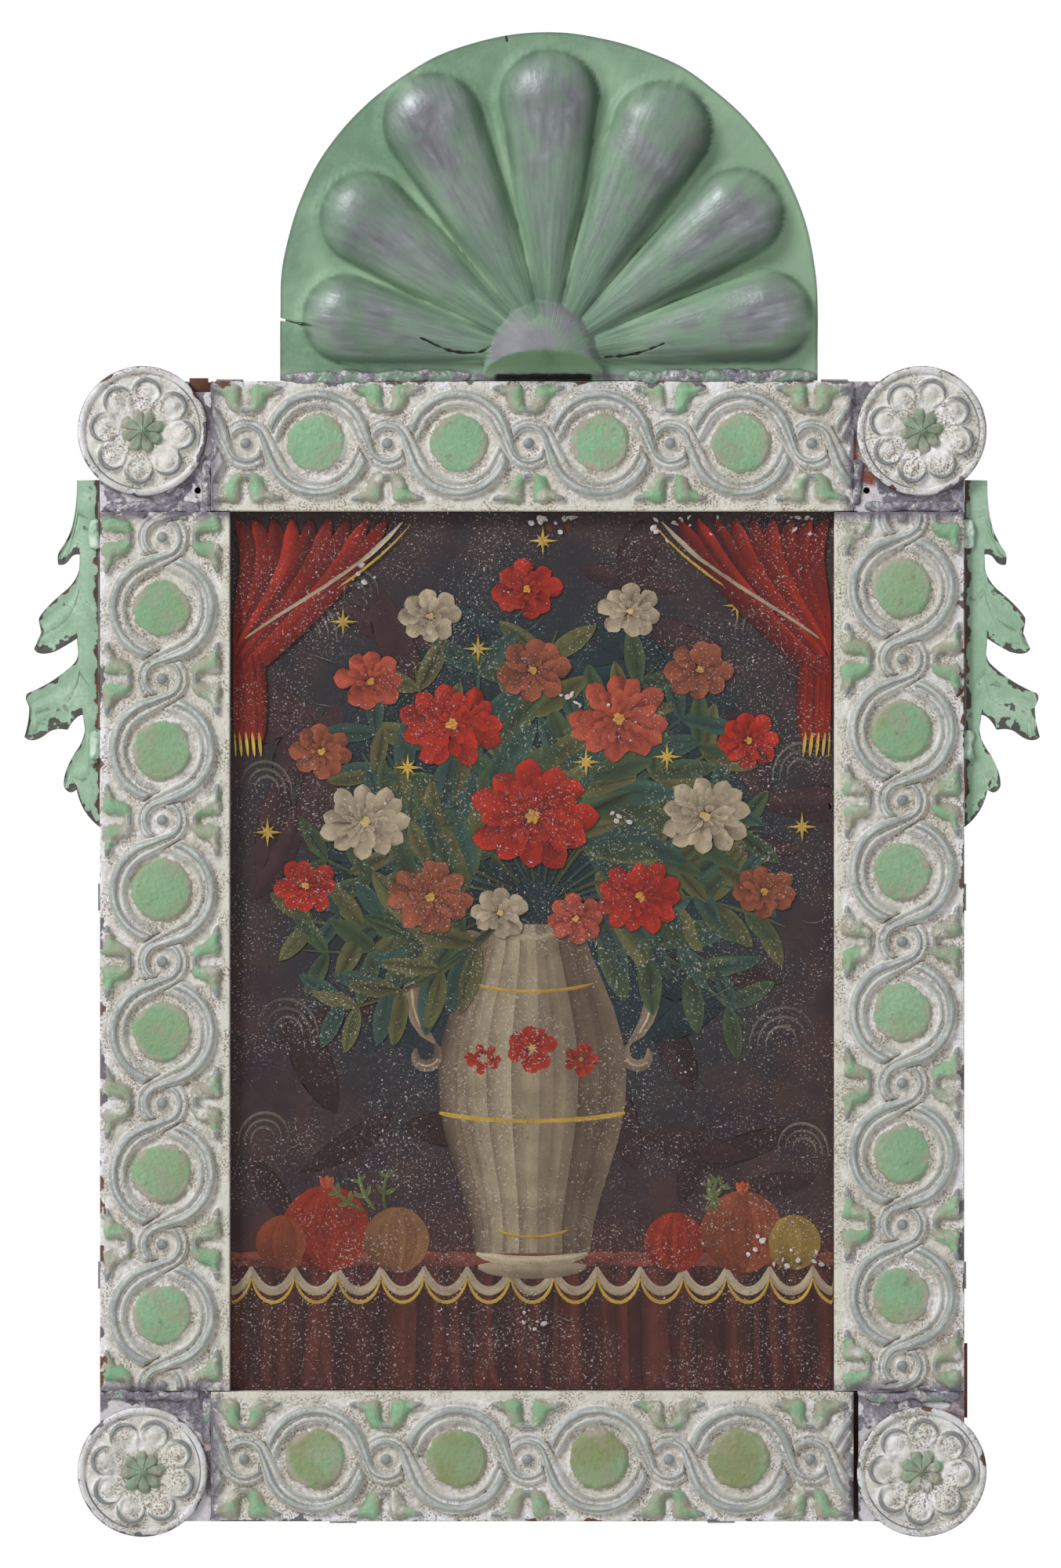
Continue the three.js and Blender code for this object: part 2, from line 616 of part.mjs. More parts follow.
// The four corners, each drawn for the top right and mirrored to its place.
const cornerTop = STRIP_FRONT - SHEET;
const CORNERS = {
  top_left: { sx: -1, sy: 1, nail: true, notch: 8, turn: 0.1 },
  top_right: { sx: 1, sy: 1, nail: true, turn: 0.25 },
  bottom_left: { sx: -1, sy: -1, turn: 0.3 },
  bottom_right: { sx: 1, sy: -1, slit: true, turn: 0.05 },
};
for (const [place, corner] of Object.entries(CORNERS)) {
  const { sx, sy } = corner;
  const sheet = cornerPlate(corner);
  const plateMesh = piece(`corner_plate_${place}`, sheet, FINISH.solder, sx * HALF_W, sy * HALF_H);
  plateMesh.scale.set(sx, sy, 1);
  const [inX, inY] = ROSETTE_IN;
  const [rx, ry] = [sx * (HALF_W - inX), sy * (HALF_H - inY)];
  piece(`rosette_${place}`, rosette(), FINISH.whitewash, rx, ry, cornerTop, corner.turn);
  const stileSeam = piece(
    `solder_stile_${place}`,
    bead(...BEAD.stile, rx).rotateZ(quarter),
    FINISH.solder,
    sx * (HALF_W - STILE_BEAD_IN),
    sy * (SIGHT_H / 2 + FIT),
    cornerTop,
  );
  stileSeam.scale.set(sx, sy, 1);
  if (corner.slit) continue;
  const railSeam = piece(
    `solder_rail_${place}`,
    bead(...BEAD.rail, ry),
    FINISH.solder,
    sx * (RAIL_LENGTH / 2 + FIT),
    sy * RAIL_BEAD_Y,
    cornerTop,
  );
  railSeam.scale.set(sx, sy, 1);
}

piece("crest_shell", crest(), FINISH.crestGreen, CREST_X, HALF_H + FIT, CREST_FRONT);
for (const [side, sx] of [["left", -1], ["right", 1]]) {
  const seam = bead(...BEAD.crest, sx).rotateZ(quarter).translate(CREST_BEAD_OUT, 0, 0);
  const crestSeam = piece(`solder_crest_${side}`, seam, FINISH.solder, CREST_X, HALF_H + FIT);
  crestSeam.position.z = CREST_FRONT + FIT;
  crestSeam.scale.x = sx;
  piece(`crest_brace_${side}`, crestBrace(), FINISH.bareTin, CREST_X + sx * BRACE_AT, HALF_H);
  const leafMesh = piece(`leaf_${side}`, leaf(), FINISH.leafGreen, sx * HALF_W, LEAF_TOP);
  leafMesh.scale.x = sx;
  for (const [end, y] of Object.entries(LEAF_TACK_Y)) {
    const drop = bead(...BEAD.leaf, y);
    const tack = piece(`solder_leaf_${side}_${end}`, drop, FINISH.solder, sx * (HALF_W + FIT), y);
    tack.position.z = LEAF_FRONT + FIT;
    tack.scale.x = sx;
  }
  const facing = sx > 0 ? 0 : Math.PI;
  piece(`clip_${side}_upper`, clip(HALF_W, sx * CLIP_AT.upper), FINISH.bareTin).rotation.z = facing;
  piece(`clip_${side}_lower`, clip(HALF_W, sx * CLIP_AT.lower), FINISH.bareTin).rotation.z = facing;
  piece(`clip_top_${side}`, clip(HALF_H, -sx * CLIP_AT.top), FINISH.bareTin).rotation.z = quarter;
  piece(`clip_bottom_${side}`, clip(HALF_H, sx * CLIP_AT.bottom), FINISH.bareTin).rotation.z = -quarter;
}

piece("hanger_strap", hangerStrap(), FINISH.bareTin, 0, HANG_Y, BAR_Z);
piece("hanging_ring", hangingRing(), FINISH.bareTin, 0, HANG_Y, BAR_Z);

front.rotation.x = Math.PI / 2;
front.position.set(0, BAR_Z, -HANG_Y);
const retablo = new THREE.Group();
retablo.add(front);
export default retablo;
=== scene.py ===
"""Framed retablo: an oil painting on tinplate in a soldered frame of pressed tin.

Each new piece is a surface worked out with numpy in the drawing frame of the frame maker:
x to the right, y up from the middle of the painting, w out from the wall side of the back
plate, all in millimetres. place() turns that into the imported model's own frame in metres.
"""

import bpy
import numpy as np
from bpy.props import FloatProperty, FloatVectorProperty, PointerProperty
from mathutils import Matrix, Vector


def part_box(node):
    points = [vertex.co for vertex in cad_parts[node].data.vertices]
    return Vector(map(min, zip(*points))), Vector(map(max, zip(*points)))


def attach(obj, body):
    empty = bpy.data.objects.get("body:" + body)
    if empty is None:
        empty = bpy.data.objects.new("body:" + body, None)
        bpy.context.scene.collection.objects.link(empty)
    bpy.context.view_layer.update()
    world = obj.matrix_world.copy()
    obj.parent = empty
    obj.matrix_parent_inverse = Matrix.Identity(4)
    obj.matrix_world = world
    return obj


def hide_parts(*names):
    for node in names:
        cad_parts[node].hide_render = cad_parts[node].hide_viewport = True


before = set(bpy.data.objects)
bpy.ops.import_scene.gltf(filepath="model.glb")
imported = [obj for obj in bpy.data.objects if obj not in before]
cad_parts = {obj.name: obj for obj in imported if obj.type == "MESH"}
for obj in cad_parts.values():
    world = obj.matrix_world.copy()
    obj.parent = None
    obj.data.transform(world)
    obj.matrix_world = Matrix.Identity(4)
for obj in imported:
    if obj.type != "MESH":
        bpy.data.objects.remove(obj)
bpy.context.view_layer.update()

bl_info = {
    "name": "Framed retablo",
    "version": (1, 0, 0),
    "blender": (4, 5, 0),
    "location": "View3D > Sidebar > Retablo",
    "description": "Dresses the packed frame of a retablo painting in pressed, painted tin",
    "category": "Object",
}

MM = 0.001
BODY = "frame"
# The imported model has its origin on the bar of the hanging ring: this far behind the drawing's
# zero of depth, and this far above the middle of the painting.
BAR_DEPTH = 2.3
BAR_HEIGHT = 192.0
# The opening that the border leaves, a strip's width and where the axis of its pattern lies.
SIGHT = (223.6, 325.7)
STRIP = 48.0
STRIP_AXIS = 25.0
# How far from the wall side a strip's ground lies, and where its two folded edges end.
STRIP_FRONT = 8.0
OUTER_FOOT = 1.1
INNER_FOOT = 2.1
# The strips at top and bottom are rails, those at the sides are stiles.
RAIL_LENGTH = 237.6
STILE_LENGTH = 325.0
# From the frame's outer corner to the middle of a rosette.
ROSETTE_IN = (15.8, 18.4)
SHEET = 0.7
# Half the border's outer width and height.
HALF_W = SIGHT[0] / 2 + STRIP
HALF_H = SIGHT[1] / 2 + STRIP
# The folded-back strips of the crest and the leaves lie between these distances from the border.
FOLD_NEAR = 0.3
FOLD_FAR = 1.0
# How many random values a lattice has each way before it repeats.
LATTICE = 97


def linear(hex_colour):
    """An sRGB hex colour as linear red, green and blue."""
    channels = np.array([int(hex_colour[i : i + 2], 16) / 255 for i in (1, 3, 5)])
    curved = ((channels + 0.055) / 1.055) ** 2.4
    return tuple(np.where(channels <= 0.04045, channels / 12.92, curved))


def place(x, y, w):
    """Points of the drawing, in millimetres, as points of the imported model, in metres."""
    x, y, w = np.broadcast_arrays(x, y, w)
    return np.stack([x, -(w + BAR_DEPTH), y - BAR_HEIGHT], axis=-1) * MM


# Mesh building.


def smooth(value, low, high):
    """Rises from 0 at low to 1 at high along a cubic with level ends."""
    t = np.clip((value - low) / (high - low), 0, 1)
    return t * t * (3 - 2 * t)


def value_noise(x, y, size, seed):
    """Random values on a lattice of the given size, joined by cubics: -1 to 1 at any point."""
    table = np.random.default_rng(seed).uniform(-1, 1, (LATTICE, LATTICE))
    u, v = x / size, y / size
    i, j = np.floor(u).astype(int), np.floor(v).astype(int)
    s, t = smooth(u - i, 0, 1), smooth(v - j, 0, 1)

    def corner(a, b):
        return table[(i + a) % LATTICE, (j + b) % LATTICE]

    low = corner(0, 0) * (1 - s) + corner(1, 0) * s
    high = corner(0, 1) * (1 - s) + corner(1, 1) * s
    return low * (1 - t) + high * t


def grid_quads(rows, columns, looped=False, first=0):
    """Quads of a grid of points numbered row by row from first; looped joins its last column to
    its first one."""
    i = np.arange(rows - 1)[:, None]
    j = np.arange(columns if looped else columns - 1)[None, :]
    k = (j + 1) % columns
    quads = [i * columns + j, i * columns + k, (i + 1) * columns + k, (i + 1) * columns + j]
    return np.stack(np.broadcast_arrays(*quads), -1).reshape(-1, 4) + first


def outward(points, faces):
    """The faces, turned round if the solid that they close would have a negative volume."""
    volume = 0.0
    for size in {len(face) for face in faces}:
        corners = points[np.array([face for face in faces if len(face) == size])]
        for k in range(1, size - 1):
            across = np.cross(corners[:, k], corners[:, k + 1])
            volume += np.einsum("ij,ij->", corners[:, 0], across)
    return faces if volume > 0 else [face[::-1] for face in faces]


ATTRIBUTES = {1: ("FLOAT", "value"), 3: ("FLOAT_VECTOR", "vector"), 4: ("FLOAT_COLOR", "color")}


def make_piece(name, points, faces, material, nodes=(), fields=None, body=BODY,
               smooth_angle=40):
    """A mesh object from points in metres, with its fields as point attributes, riding on a
    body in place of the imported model's nodes."""
    mesh = bpy.data.meshes.new(name)
    mesh.from_pydata(points.tolist(), [], faces)
    for field, values in (fields or {}).items():
        kind, key = ATTRIBUTES[values.shape[1] if values.ndim == 2 else 1]
        layer = mesh.attributes.new(field, kind, "POINT")
        layer.data.foreach_set(key, values.astype(np.float32).ravel())
    mesh.shade_smooth()
    mesh.set_sharp_from_angle(angle=np.radians(smooth_angle))
    mesh.materials.append(material)
    piece = bpy.data.objects.new(name, mesh)
    bpy.context.scene.collection.objects.link(piece)
    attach(piece, body)
    if nodes:
        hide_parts(*nodes)
    return piece


def capped_tube(sections):
    """Faces of a tube through rows of section points, with both ends closed by one face each."""
    rows, columns = sections.shape[:2]
    quads = grid_quads(rows, columns, looped=True).tolist()
    last = (rows - 1) * columns
    return quads + [list(range(columns))[::-1], list(range(last, last + columns))]


def sheet_shell(front, back):
    """Points and faces of a closed sheet: a front grid, a back grid and the rim between them."""
    rows, columns = front.shape[:2]
    count = rows * columns
    quads = grid_quads(rows, columns)
    order = np.arange(count).reshape(rows, columns)
    rim = np.concatenate([order[0], order[1:, -1], order[-1, -2::-1], order[-2:0:-1, 0]])
    following = np.roll(rim, -1)
    sides = np.stack([following, rim, rim + count, following + count], -1)
    faces = np.concatenate([quads, (quads + count)[:, ::-1], sides])
    return np.concatenate([front.reshape(-1, 3), back.reshape(-1, 3)]), faces.tolist()


def rounded(points, steps=5, closed=True):
    """A line through the points with rounded turns: on each span the cubic whose end slopes are
    half the chord between the neighbours of its end points."""
    points = np.asarray(points, float)
    if closed:
        around = np.concatenate([points[-1:], points, points[:2]])
    else:
        around = np.concatenate([points[:1], points, points[-1:]])
    t = np.arange(steps)[None, :, None] / steps
    a, b, c, d = (around[k : len(around) - 3 + k, None] for k in range(4))
    square, cube = a - 2.5 * b + 2 * c - d / 2, 1.5 * b - a / 2 - 1.5 * c + d / 2
    line = (b + t * ((c - a) / 2 + t * (square + t * cube))).reshape(-1, 2)
    return line.tolist() if closed else np.concatenate([line, points[-1:]]).tolist()


def path_distance(x, y, path):
    """Distance from points to an open line through the path's points."""
    nearest = np.full(np.shape(x), 1e9)
    for (ax, ay), (bx, by) in zip(path, path[1:]):
        run_x, run_y = bx - ax, by - ay
        t = np.clip(((x - ax) * run_x + (y - ay) * run_y) / (run_x**2 + run_y**2), 0, 1)
        nearest = np.minimum(nearest, np.hypot(x - ax - t * run_x, y - ay - t * run_y))
    return nearest


def edge_distance(x, y, outline):
    """Distance from points to a closed outline, positive inside it and negative outside, where
    a ray from the point crosses the outline an even number of times."""
    closed = outline + outline[:1]
    inside = np.zeros(np.shape(x), bool)
    for (ax, ay), (bx, by) in zip(closed, closed[1:]):
        if ay != by:
            inside ^= ((ay > y) != (by > y)) & (x < ax + (y - ay) * (bx - ax) / (by - ay))
    nearest = path_distance(x, y, closed)
    return np.where(inside, nearest, -nearest)


# Pressed relief of the border.

# Large and small rings lie by turns along a strip, half a pitch apart: the radius of a strand's
# centre line round each of them, and the strand's width there.
PITCH = 52.3
LARGE_RING = 16.75
SMALL_RING = 7.4
LARGE_BAND = 6.9
SMALL_BAND = 4.4
# How high a strand rises, and how much lower it is at a small ring.
STRAND_RISE = 2.6
STRAND_DROP = 0.7
# The disc in a large ring, the boss in a small one and the leaves beside it. Discs and leaves
# rise steeply at their edge and swell a little further to their middle.
DISC_R = 11.3
DISC_RISE = 1.0
DISC_SWELL = 0.7
BOSS_R = 2.3
BOSS_RISE = 1.8
LEAF_RISE = 1.5
LEAF_SWELL = 0.7
# A strand's straight between two rings runs this far from square across the strip.
LEAN = np.arccos((LARGE_RING + SMALL_RING) / (PITCH / 2))
# One half of the tulip-shaped pair of leaves beside a small ring: from the arch that joins the
# pair, out along the body to the curled tip, and back under it to the gap between them.
LEAF_HALF = rounded([
    (-0.6, 11.0), (1.2, 10.9), (3.4, 11.2), (5.6, 12.5), (7.0, 15.0), (8.0, 17.4), (10.6, 18.3),
    (13.3, 19.5), (13.6, 21.2), (10.9, 21.8), (8.2, 21.1), (6.2, 21.7), (4.0, 21.9), (2.3, 20.8),
    (1.9, 18.2), (1.9, 15.6), (1.2, 13.7), (-0.6, 13.1)])


def strand_offset(ax, y):
    """Where a point lies across the strand that runs over the top of a large ring at 0 and
    under the small ring at half a pitch: its offset from the strand's centre line, and how far it
    is along the straight between the rings, from 0 to 1. ax is the distance from the large
    ring's upright axis."""
    run = PITCH / 2 * np.sin(LEAN)
    along = ax * np.sin(LEAN) - y * np.cos(LEAN)
    large = np.hypot(ax, y) - LARGE_RING
    straight = ax * np.cos(LEAN) + y * np.sin(LEAN) - LARGE_RING
    small = SMALL_RING - np.hypot(ax - PITCH / 2, y)
    offset = np.where(along < 0, large, np.where(along > run, small, straight))
    return offset, np.clip(along / run, 0, 1)


def half_band(share):
    """Half a strand's width, from the large ring's at 0 to the small ring's at 1."""
    return (LARGE_BAND + (SMALL_BAND - LARGE_BAND) * share) / 2


def strand_profile(offset, share):
    """Height across a strand, 0 to 1: a broad ridge outside, a groove and a thin ridge inside."""
    across = offset / half_band(share)
    broad = np.sqrt(np.clip(1 - ((across - 0.42) / 0.6) ** 2, 0, 1))
    thin = 0.78 * np.sqrt(np.clip(1 - ((across + 0.62) / 0.34) ** 2, 0, 1))
    web = 0.42 * smooth(1.05 - np.abs(across), 0, 0.35)
    return np.maximum(np.maximum(broad, thin), web)


def border_relief(u, v, phase, seed):
    """Height of the stamped pattern over the strip's ground, and its paint fields. Two strands,
    mirror images of each other, pass over and under by turns: on the right of a large ring the
    upper one is on top, on the left the lower one."""
    x = np.mod(u - phase, PITCH) - PITCH / 2
    ax = np.abs(x)
    upper, share_up = strand_offset(ax, v)
    lower, share_low = strand_offset(ax, -v)

    def clear(offset, share):
        return smooth(np.abs(offset) - half_band(share), 0.1, 1.1)

    high_up, high_low = strand_profile(upper, share_up), strand_profile(lower, share_low)
    high_up = np.where(x < 0, high_up * clear(lower, share_low), high_up)
    high_low = np.where(x > 0, high_low * clear(upper, share_up), high_low)
    on_up = high_up > high_low
    share = np.where(on_up, share_up, share_low)
    strand = np.maximum(high_up, high_low)
    height = strand * (STRAND_RISE - STRAND_DROP * share)

    radius = np.hypot(x, v)
    disc = smooth(DISC_R + 0.6 - radius, 0, 2.2)
    swell = DISC_SWELL * disc * (1 - (radius / DISC_R) ** 2)
    height = np.maximum(height, DISC_RISE * disc + swell)
    boss = np.hypot(ax - PITCH / 2, v) / BOSS_R
    height = np.maximum(height, BOSS_RISE * np.sqrt(np.clip(1 - boss**2, 0, 1)))
    small_x = PITCH / 2 - ax
    leaf = edge_distance(small_x, np.abs(v), LEAF_HALF)
    leaf_high = LEAF_RISE * smooth(leaf, -0.4, 0.8) + LEAF_SWELL * smooth(leaf, 0.5, 2.2)
    height = np.maximum(height, leaf_high)
    bare_tip, arch = smooth(small_x, 9.2, 10.8), smooth(2.6 - small_x, 0, 1)
    bare_leaf = np.maximum(bare_tip, arch * smooth(14 - np.abs(v), 0, 1))

    hand = value_noise(u + 70 * seed, v, 7, seed) * 0.8 + value_noise(u, v, 2.4, seed + 1) * 0.25
    bulk = value_noise(u + 31 * seed, 0 * v + 5, 60, seed + 2)
    slip = 0.5 * value_noise(u, v + 50 * seed, 12, seed + 9)
    paint_disc = DISC_R - 0.4 + 0.6 * bulk - radius + hand + slip
    paint_leaf = np.minimum(leaf + 0.1, 2 - 3 * bare_leaf) + 0.6 * hand
    rubbed_leaf = 0.85 * smooth(leaf, -0.2, 0.5) * bare_leaf
    fields = {
        "paint": np.clip(np.maximum(paint_disc, paint_leaf), -3, 3),
        "rubbed": np.maximum(strand, np.maximum(smooth(1.2 - boss, 0, 0.5), rubbed_leaf)),
        "across": np.clip(np.where(on_up, upper, lower) / half_band(share), -1.4, 1.4),
        "leaf": smooth(leaf, -0.6, 0.4),
    }
    return height, fields


def pressed_strip(name, phase, length, centre, turn, material, seed, aged):
    """One strip of the border: a section carried along it, whose front follows the relief and
    whose two edges fold back; the section is a closed loop and the ends are capped. aged browns
    its green paint."""
    half = length / 2
    inner, outer = -STRIP_AXIS, STRIP - STRIP_AXIS
    step = 0.5
    u = np.linspace(-half, half, int(length / step) + 1)
    front = np.linspace(outer - step, inner + step, 94)
    outer_foot, inner_foot = OUTER_FOOT - STRIP_FRONT, INNER_FOOT - STRIP_FRONT
    bevel, shoulder, under = 0.12, -0.5, -SHEET - 0.2
    rim_v = np.concatenate([[outer, outer, outer - bevel], front, [inner + bevel, inner, inner]])
    rim_w = np.concatenate([[outer_foot, shoulder, -bevel], 0 * front,
                            [-bevel, shoulder, inner_foot]])
    back_v = [inner + SHEET, inner + SHEET, outer - SHEET, outer - SHEET]
    back_w = [inner_foot, under, under, outer_foot]
    v = np.concatenate([rim_v, back_v])
    w = np.concatenate([rim_w, back_w])
    grid_u, grid_v = np.meshgrid(u, v, indexing="ij")
    height, fields = border_relief(grid_u, grid_v, phase, seed)
    wobble = 0.14 * value_noise(grid_u, grid_v, 9, seed)
    wobble = wobble + 0.12 * value_noise(grid_u, grid_v, 1.2, seed)
    edge = np.minimum(outer - grid_v, grid_v - inner)
    fade = smooth(edge, 0.3, 1.6) * smooth(half - np.abs(grid_u), 0.2, 1.2)
    on_front = np.zeros(len(v), bool)
    on_front[3 : 3 + len(front)] = True
    rise = np.where(on_front[None, :], (height + wobble) * fade, 0.0)
    # How far the surface lies below its neighbours: the hollows beside the relief, which take
    # painted shade mixed with dirt.
    blurred, reach = rise, 5
    for axis in (0, 1):
        blurred = sum(np.roll(blurred, k, axis) for k in range(-reach, reach + 1)) / (2 * reach + 1)
    fields["hollow"] = np.clip(blurred - rise, -1, 1)
    fields["edge"] = np.clip(np.minimum(outer - grid_v, half - np.abs(grid_u) + 0.8), 0, 6)
    fields["margin"] = np.clip(grid_v - inner, 0, 6)
    fields["aged"] = np.full(grid_u.shape, aged)
    fields["end"] = np.clip(half - np.abs(grid_u), 0, 20)
    c, s = np.cos(turn), np.sin(turn)
    x = centre[0] + c * grid_u - s * grid_v
    y = centre[1] + s * grid_u + c * grid_v
    points = place(x, y, STRIP_FRONT + w[None, :] + rise)
    faces = outward(points.reshape(-1, 3), capped_tube(points))
    fields = {key: value.ravel() for key, value in fields.items()}
    return make_piece(name, points.reshape(-1, 3), faces, material,
                      [name.replace("pressed_", "")], fields, smooth_angle=70)


# Rosettes.

# How many cups there are, how far out their middles lie and the radius of their horseshoe rims.
CUPS = 8
CUP_AT = 14.4
CUP_R = 4.7
# The rolled rim's radius, and how high the rosette's ground lies over its plate.
ROLLED_RIM = 22.6
GROUND = 0.9


def rosette_height(radius, angle):
    """Height of a stamped rosette over its plate, and its paint fields: a rolled rim, eight cups
    with a horseshoe rim each, open to the centre, and a star of eight leaves with a boss."""
    turn = 2 * np.pi / CUPS
    folded = np.mod(angle + turn / 2, turn) - turn / 2
    px, py = radius * np.cos(folded) - CUP_AT, radius * np.sin(folded)
    cup = np.hypot(px, py)
    facing = np.abs(np.arctan2(py, px))
    horseshoe = np.exp(-(((cup - CUP_R) / 0.95) ** 2)) * smooth(2.7 - facing, 0, 0.7)
    hollow = smooth(3.9 - cup, 0, 3.4) * (1 + 0.12 * px)
    petal = smooth(radius, 6, 9) * smooth(20 - radius, 0, 2)
    petal = petal * smooth(0.34 - np.abs(folded), 0, 0.12)
    rim = np.sqrt(np.clip(1 - ((radius - ROLLED_RIM) / 1.35) ** 2, 0, 1))
    leaves = np.cos(CUPS / 2 * (angle + turn / 2))
    star = 5.0 + 2.9 * np.abs(leaves) ** 0.55 - radius
    star = star + 0.5 * np.sin(3 * angle + 1) * np.sin(2 * angle)
    bow = 0.5 * facing**2
    moon = smooth(cup, 3.1 + bow, 3.9 + bow) * smooth(5.9 - cup, 0, 0.6)
    moon = moon * smooth(2.1 - facing, 0, 0.7)
    broken = smooth(np.sin(2 * angle) + np.sin(3 * angle + 1), -0.9, 0.6)
    line = smooth(0.5 - np.abs(radius - 21.4), 0, 0.3) * broken
    star_high = smooth(star, -0.3, 1.3) * (1.3 + 0.9 * smooth(5 - radius, 0, 4))
    star_high -= 0.5 * smooth(star, 0.4, 1.4) * np.exp(-((leaves / 0.3) ** 2))
    boss = 1.3 * np.sqrt(np.clip(1 - (radius / 1.9) ** 2, 0, 1))
    height = GROUND + 1.3 * rim + 1.5 * horseshoe + 0.55 * petal + 1.2 * hollow
    height = np.maximum(height, GROUND + star_high) + boss
    low_ground = smooth(cup, 4.8, 7) * smooth(21 - radius, 0, 2) * (1 - petal)
    fields = {
        "paint": np.clip(star + 0.3, -3, 3),
        "rubbed": np.max([moon, smooth(2.2 - radius, 0, 0.5), 0.62 * rim, line], axis=0),
        "across": 0.5 - 0.48 * np.maximum(moon, line),
        # The low ground between the cups takes a little of the same painted shade and dirt.
        "hollow": 0.3 * low_ground,
        "edge": np.clip(24.4 - radius, 0, 6),
        "soil": smooth(8.5 - radius, 0, 3),
        "margin": np.full(np.shape(radius), 6.0),
    }
    return height, fields


def rosette(name, node, centre, turn, material, seed):
    """One rosette: rings of points from the centre to the rolled rim and back underneath it."""
    steps = 216
    radius = np.concatenate([[0.05], np.linspace(0.6, 21.2, 46), np.linspace(21.5, 23.95, 9)])
    angle = np.linspace(0, 2 * np.pi, steps, endpoint=False)
    r, a = np.meshgrid(radius, angle, indexing="ij")
    height, fields = rosette_height(r, a + turn)
    x, y = r * np.cos(a), r * np.sin(a)
    height = height + 0.12 * value_noise(x + 60, y + 60, 1.2, seed)
    height = height + 0.2 * value_noise(x + 60, y + 60, 6, seed)
    under_radius = np.array([24.0, 23.9, 22.9, 0.05])
    under_height = np.array([1.35, 0.9, 0.0, 0.0])
    ur, ua = np.meshgrid(under_radius, angle, indexing="ij")
    x = np.concatenate([x, ur * np.cos(ua)])
    y = np.concatenate([y, ur * np.sin(ua)])
    w = np.concatenate([height, np.broadcast_to(under_height[:, None], ur.shape)])
    points = place(centre[0] + x, centre[1] + y, STRIP_FRONT - SHEET + w)
    faces = outward(points.reshape(-1, 3), capped_tube(points))
    beneath = {"paint": -3.0, "rubbed": 0.5, "across": 0.5, "margin": 6.0}
    fields = {key: np.concatenate([value, np.full(ur.shape, beneath.get(key, 0.0))]).ravel()
              for key, value in fields.items()}
    fields["leaf"] = smooth(fields["paint"], -0.4, 0.4)
    fields["end"] = np.full(fields["paint"].shape, 20.0)
    return make_piece(name, points.reshape(-1, 3), faces, material, [node],
                      fields, smooth_angle=60)


# Shell crest.

# The crest stands a little to the right. Its top is an arc of this radius, whose centre is this
# high over the foot, and the flat field round its lobes lies this far from the wall side.
CREST_X = 6.2
CREST_R = 99.4
CREST_RISE = 29.4
CREST_FRONT = 7.0
CREST_SHEET = 0.9
# Where the lobes meet, and the dome over that place: its middle, half width, height and depth.
HUB_Y = 8.7
DOME = (-2.0, 0.6, 22.4, 29.6)
DOME_DEPTH = 14.0
# The turn from one lobe to the next, and how high a lobe rises at its root and at its end.
LOBE_STEP = np.radians(26.4)
LOBE_LOW = 5.0
LOBE_HIGH = 11.6
# The lobes from right to left: how far each ends from the crest's edge, and its radius.
LOBE_ENDS = [(19.2, 17.0), (23.1, 17.3), (24.2, 18.7), (24.7, 18.5), (20.8, 18.7), (25.8, 17.6),
             (25.0, 16.5)]
# Where the tear in the left edge is, seen from the middle of the foot, and the cracks.
TEAR_ANGLE = np.radians(167.1)
CRACKS = [rounded(line, 6, closed=False) for line in (
    [(-47.1, 15.4), (-36.1, 10.7), (-26.5, 10.2), (-21.5, 12.6)],
    [(20.9, 8.5), (32.1, 9.6), (42.6, 13.4)],
    [(-16.4, 128.4), (-15.9, 126.8), (-15.3, 125.2)])]


def crest_reach(angle, low=HUB_Y):
    """Distance to the crest's outline from a point on its upright axis, low above the foot: the
    round top, then the upright sides."""
    c, s = np.cos(angle), np.sin(angle)
    up = CREST_RISE - low
    top = up * s + np.sqrt(CREST_R**2 - (up * c) ** 2)
    side = CREST_R / np.maximum(np.abs(c), 1e-6)
    return np.where(s * top > up, top, side)


def crest_height(x, y):
    """Height of the shell over its flat field: seven club-shaped lobes whose ends are round, and
    over their meeting point half an ellipsoid cut below by a slanting plane. Gives the whole, the
    lobes alone, the dome alone, where the slanting plane shows, and the lobes' lower right
    flanks, which take painted shade."""
    lobes, shaded_flank = np.zeros(np.shape(x)), np.zeros(np.shape(x))
    for i, (margin, widest) in enumerate(LOBE_ENDS):
        angle = np.pi / 2 + (i - 3) * LOBE_STEP
        c, s = np.cos(angle), np.sin(angle)
        end = crest_reach(np.array(angle)) - margin
        along = x * c + (y - HUB_Y) * s
        across = x * s - (y - HUB_Y) * c
        t = np.clip((along - 20) / (end - 20), 0, 1)
        radius = 6.2 + (widest - 6.0) * t**0.92
        off = np.hypot(across, along - (20 + (end - 20) * t)) / radius
        lobe = (LOBE_LOW + (LOBE_HIGH - LOBE_LOW) * t) * np.clip(1 - off**2.2, 0, 1) ** 0.55
        lip = 0.8 * np.exp(-(((off - 1.05) * radius / 1.5) ** 2))
        lower = smooth(across / radius * (0.75 * s + 0.66 * c), 0.2, 0.75)
        lower = lower * smooth(1.12 - off, 0, 0.15)
        shaded_flank = np.where(lobe > lobes, lower, np.maximum(shaded_flank, lower * (lobes == 0)))
        lobes = np.maximum(lobes, np.maximum(lobe, lip * smooth(along, 12, 26)))
    middle_x, middle_y, wide, high = DOME
    hx, hy = (x - middle_x) / wide, (y - middle_y) / high
    dome = DOME_DEPTH * np.clip(1 - hx * hx - hy * hy, 0, 1) ** 0.46
    under = np.maximum(0, (y - middle_y) * DOME_DEPTH * 0.094)
    hub = np.minimum(dome, under)
    return np.maximum(lobes, hub), lobes, hub, under < dome, shaded_flank


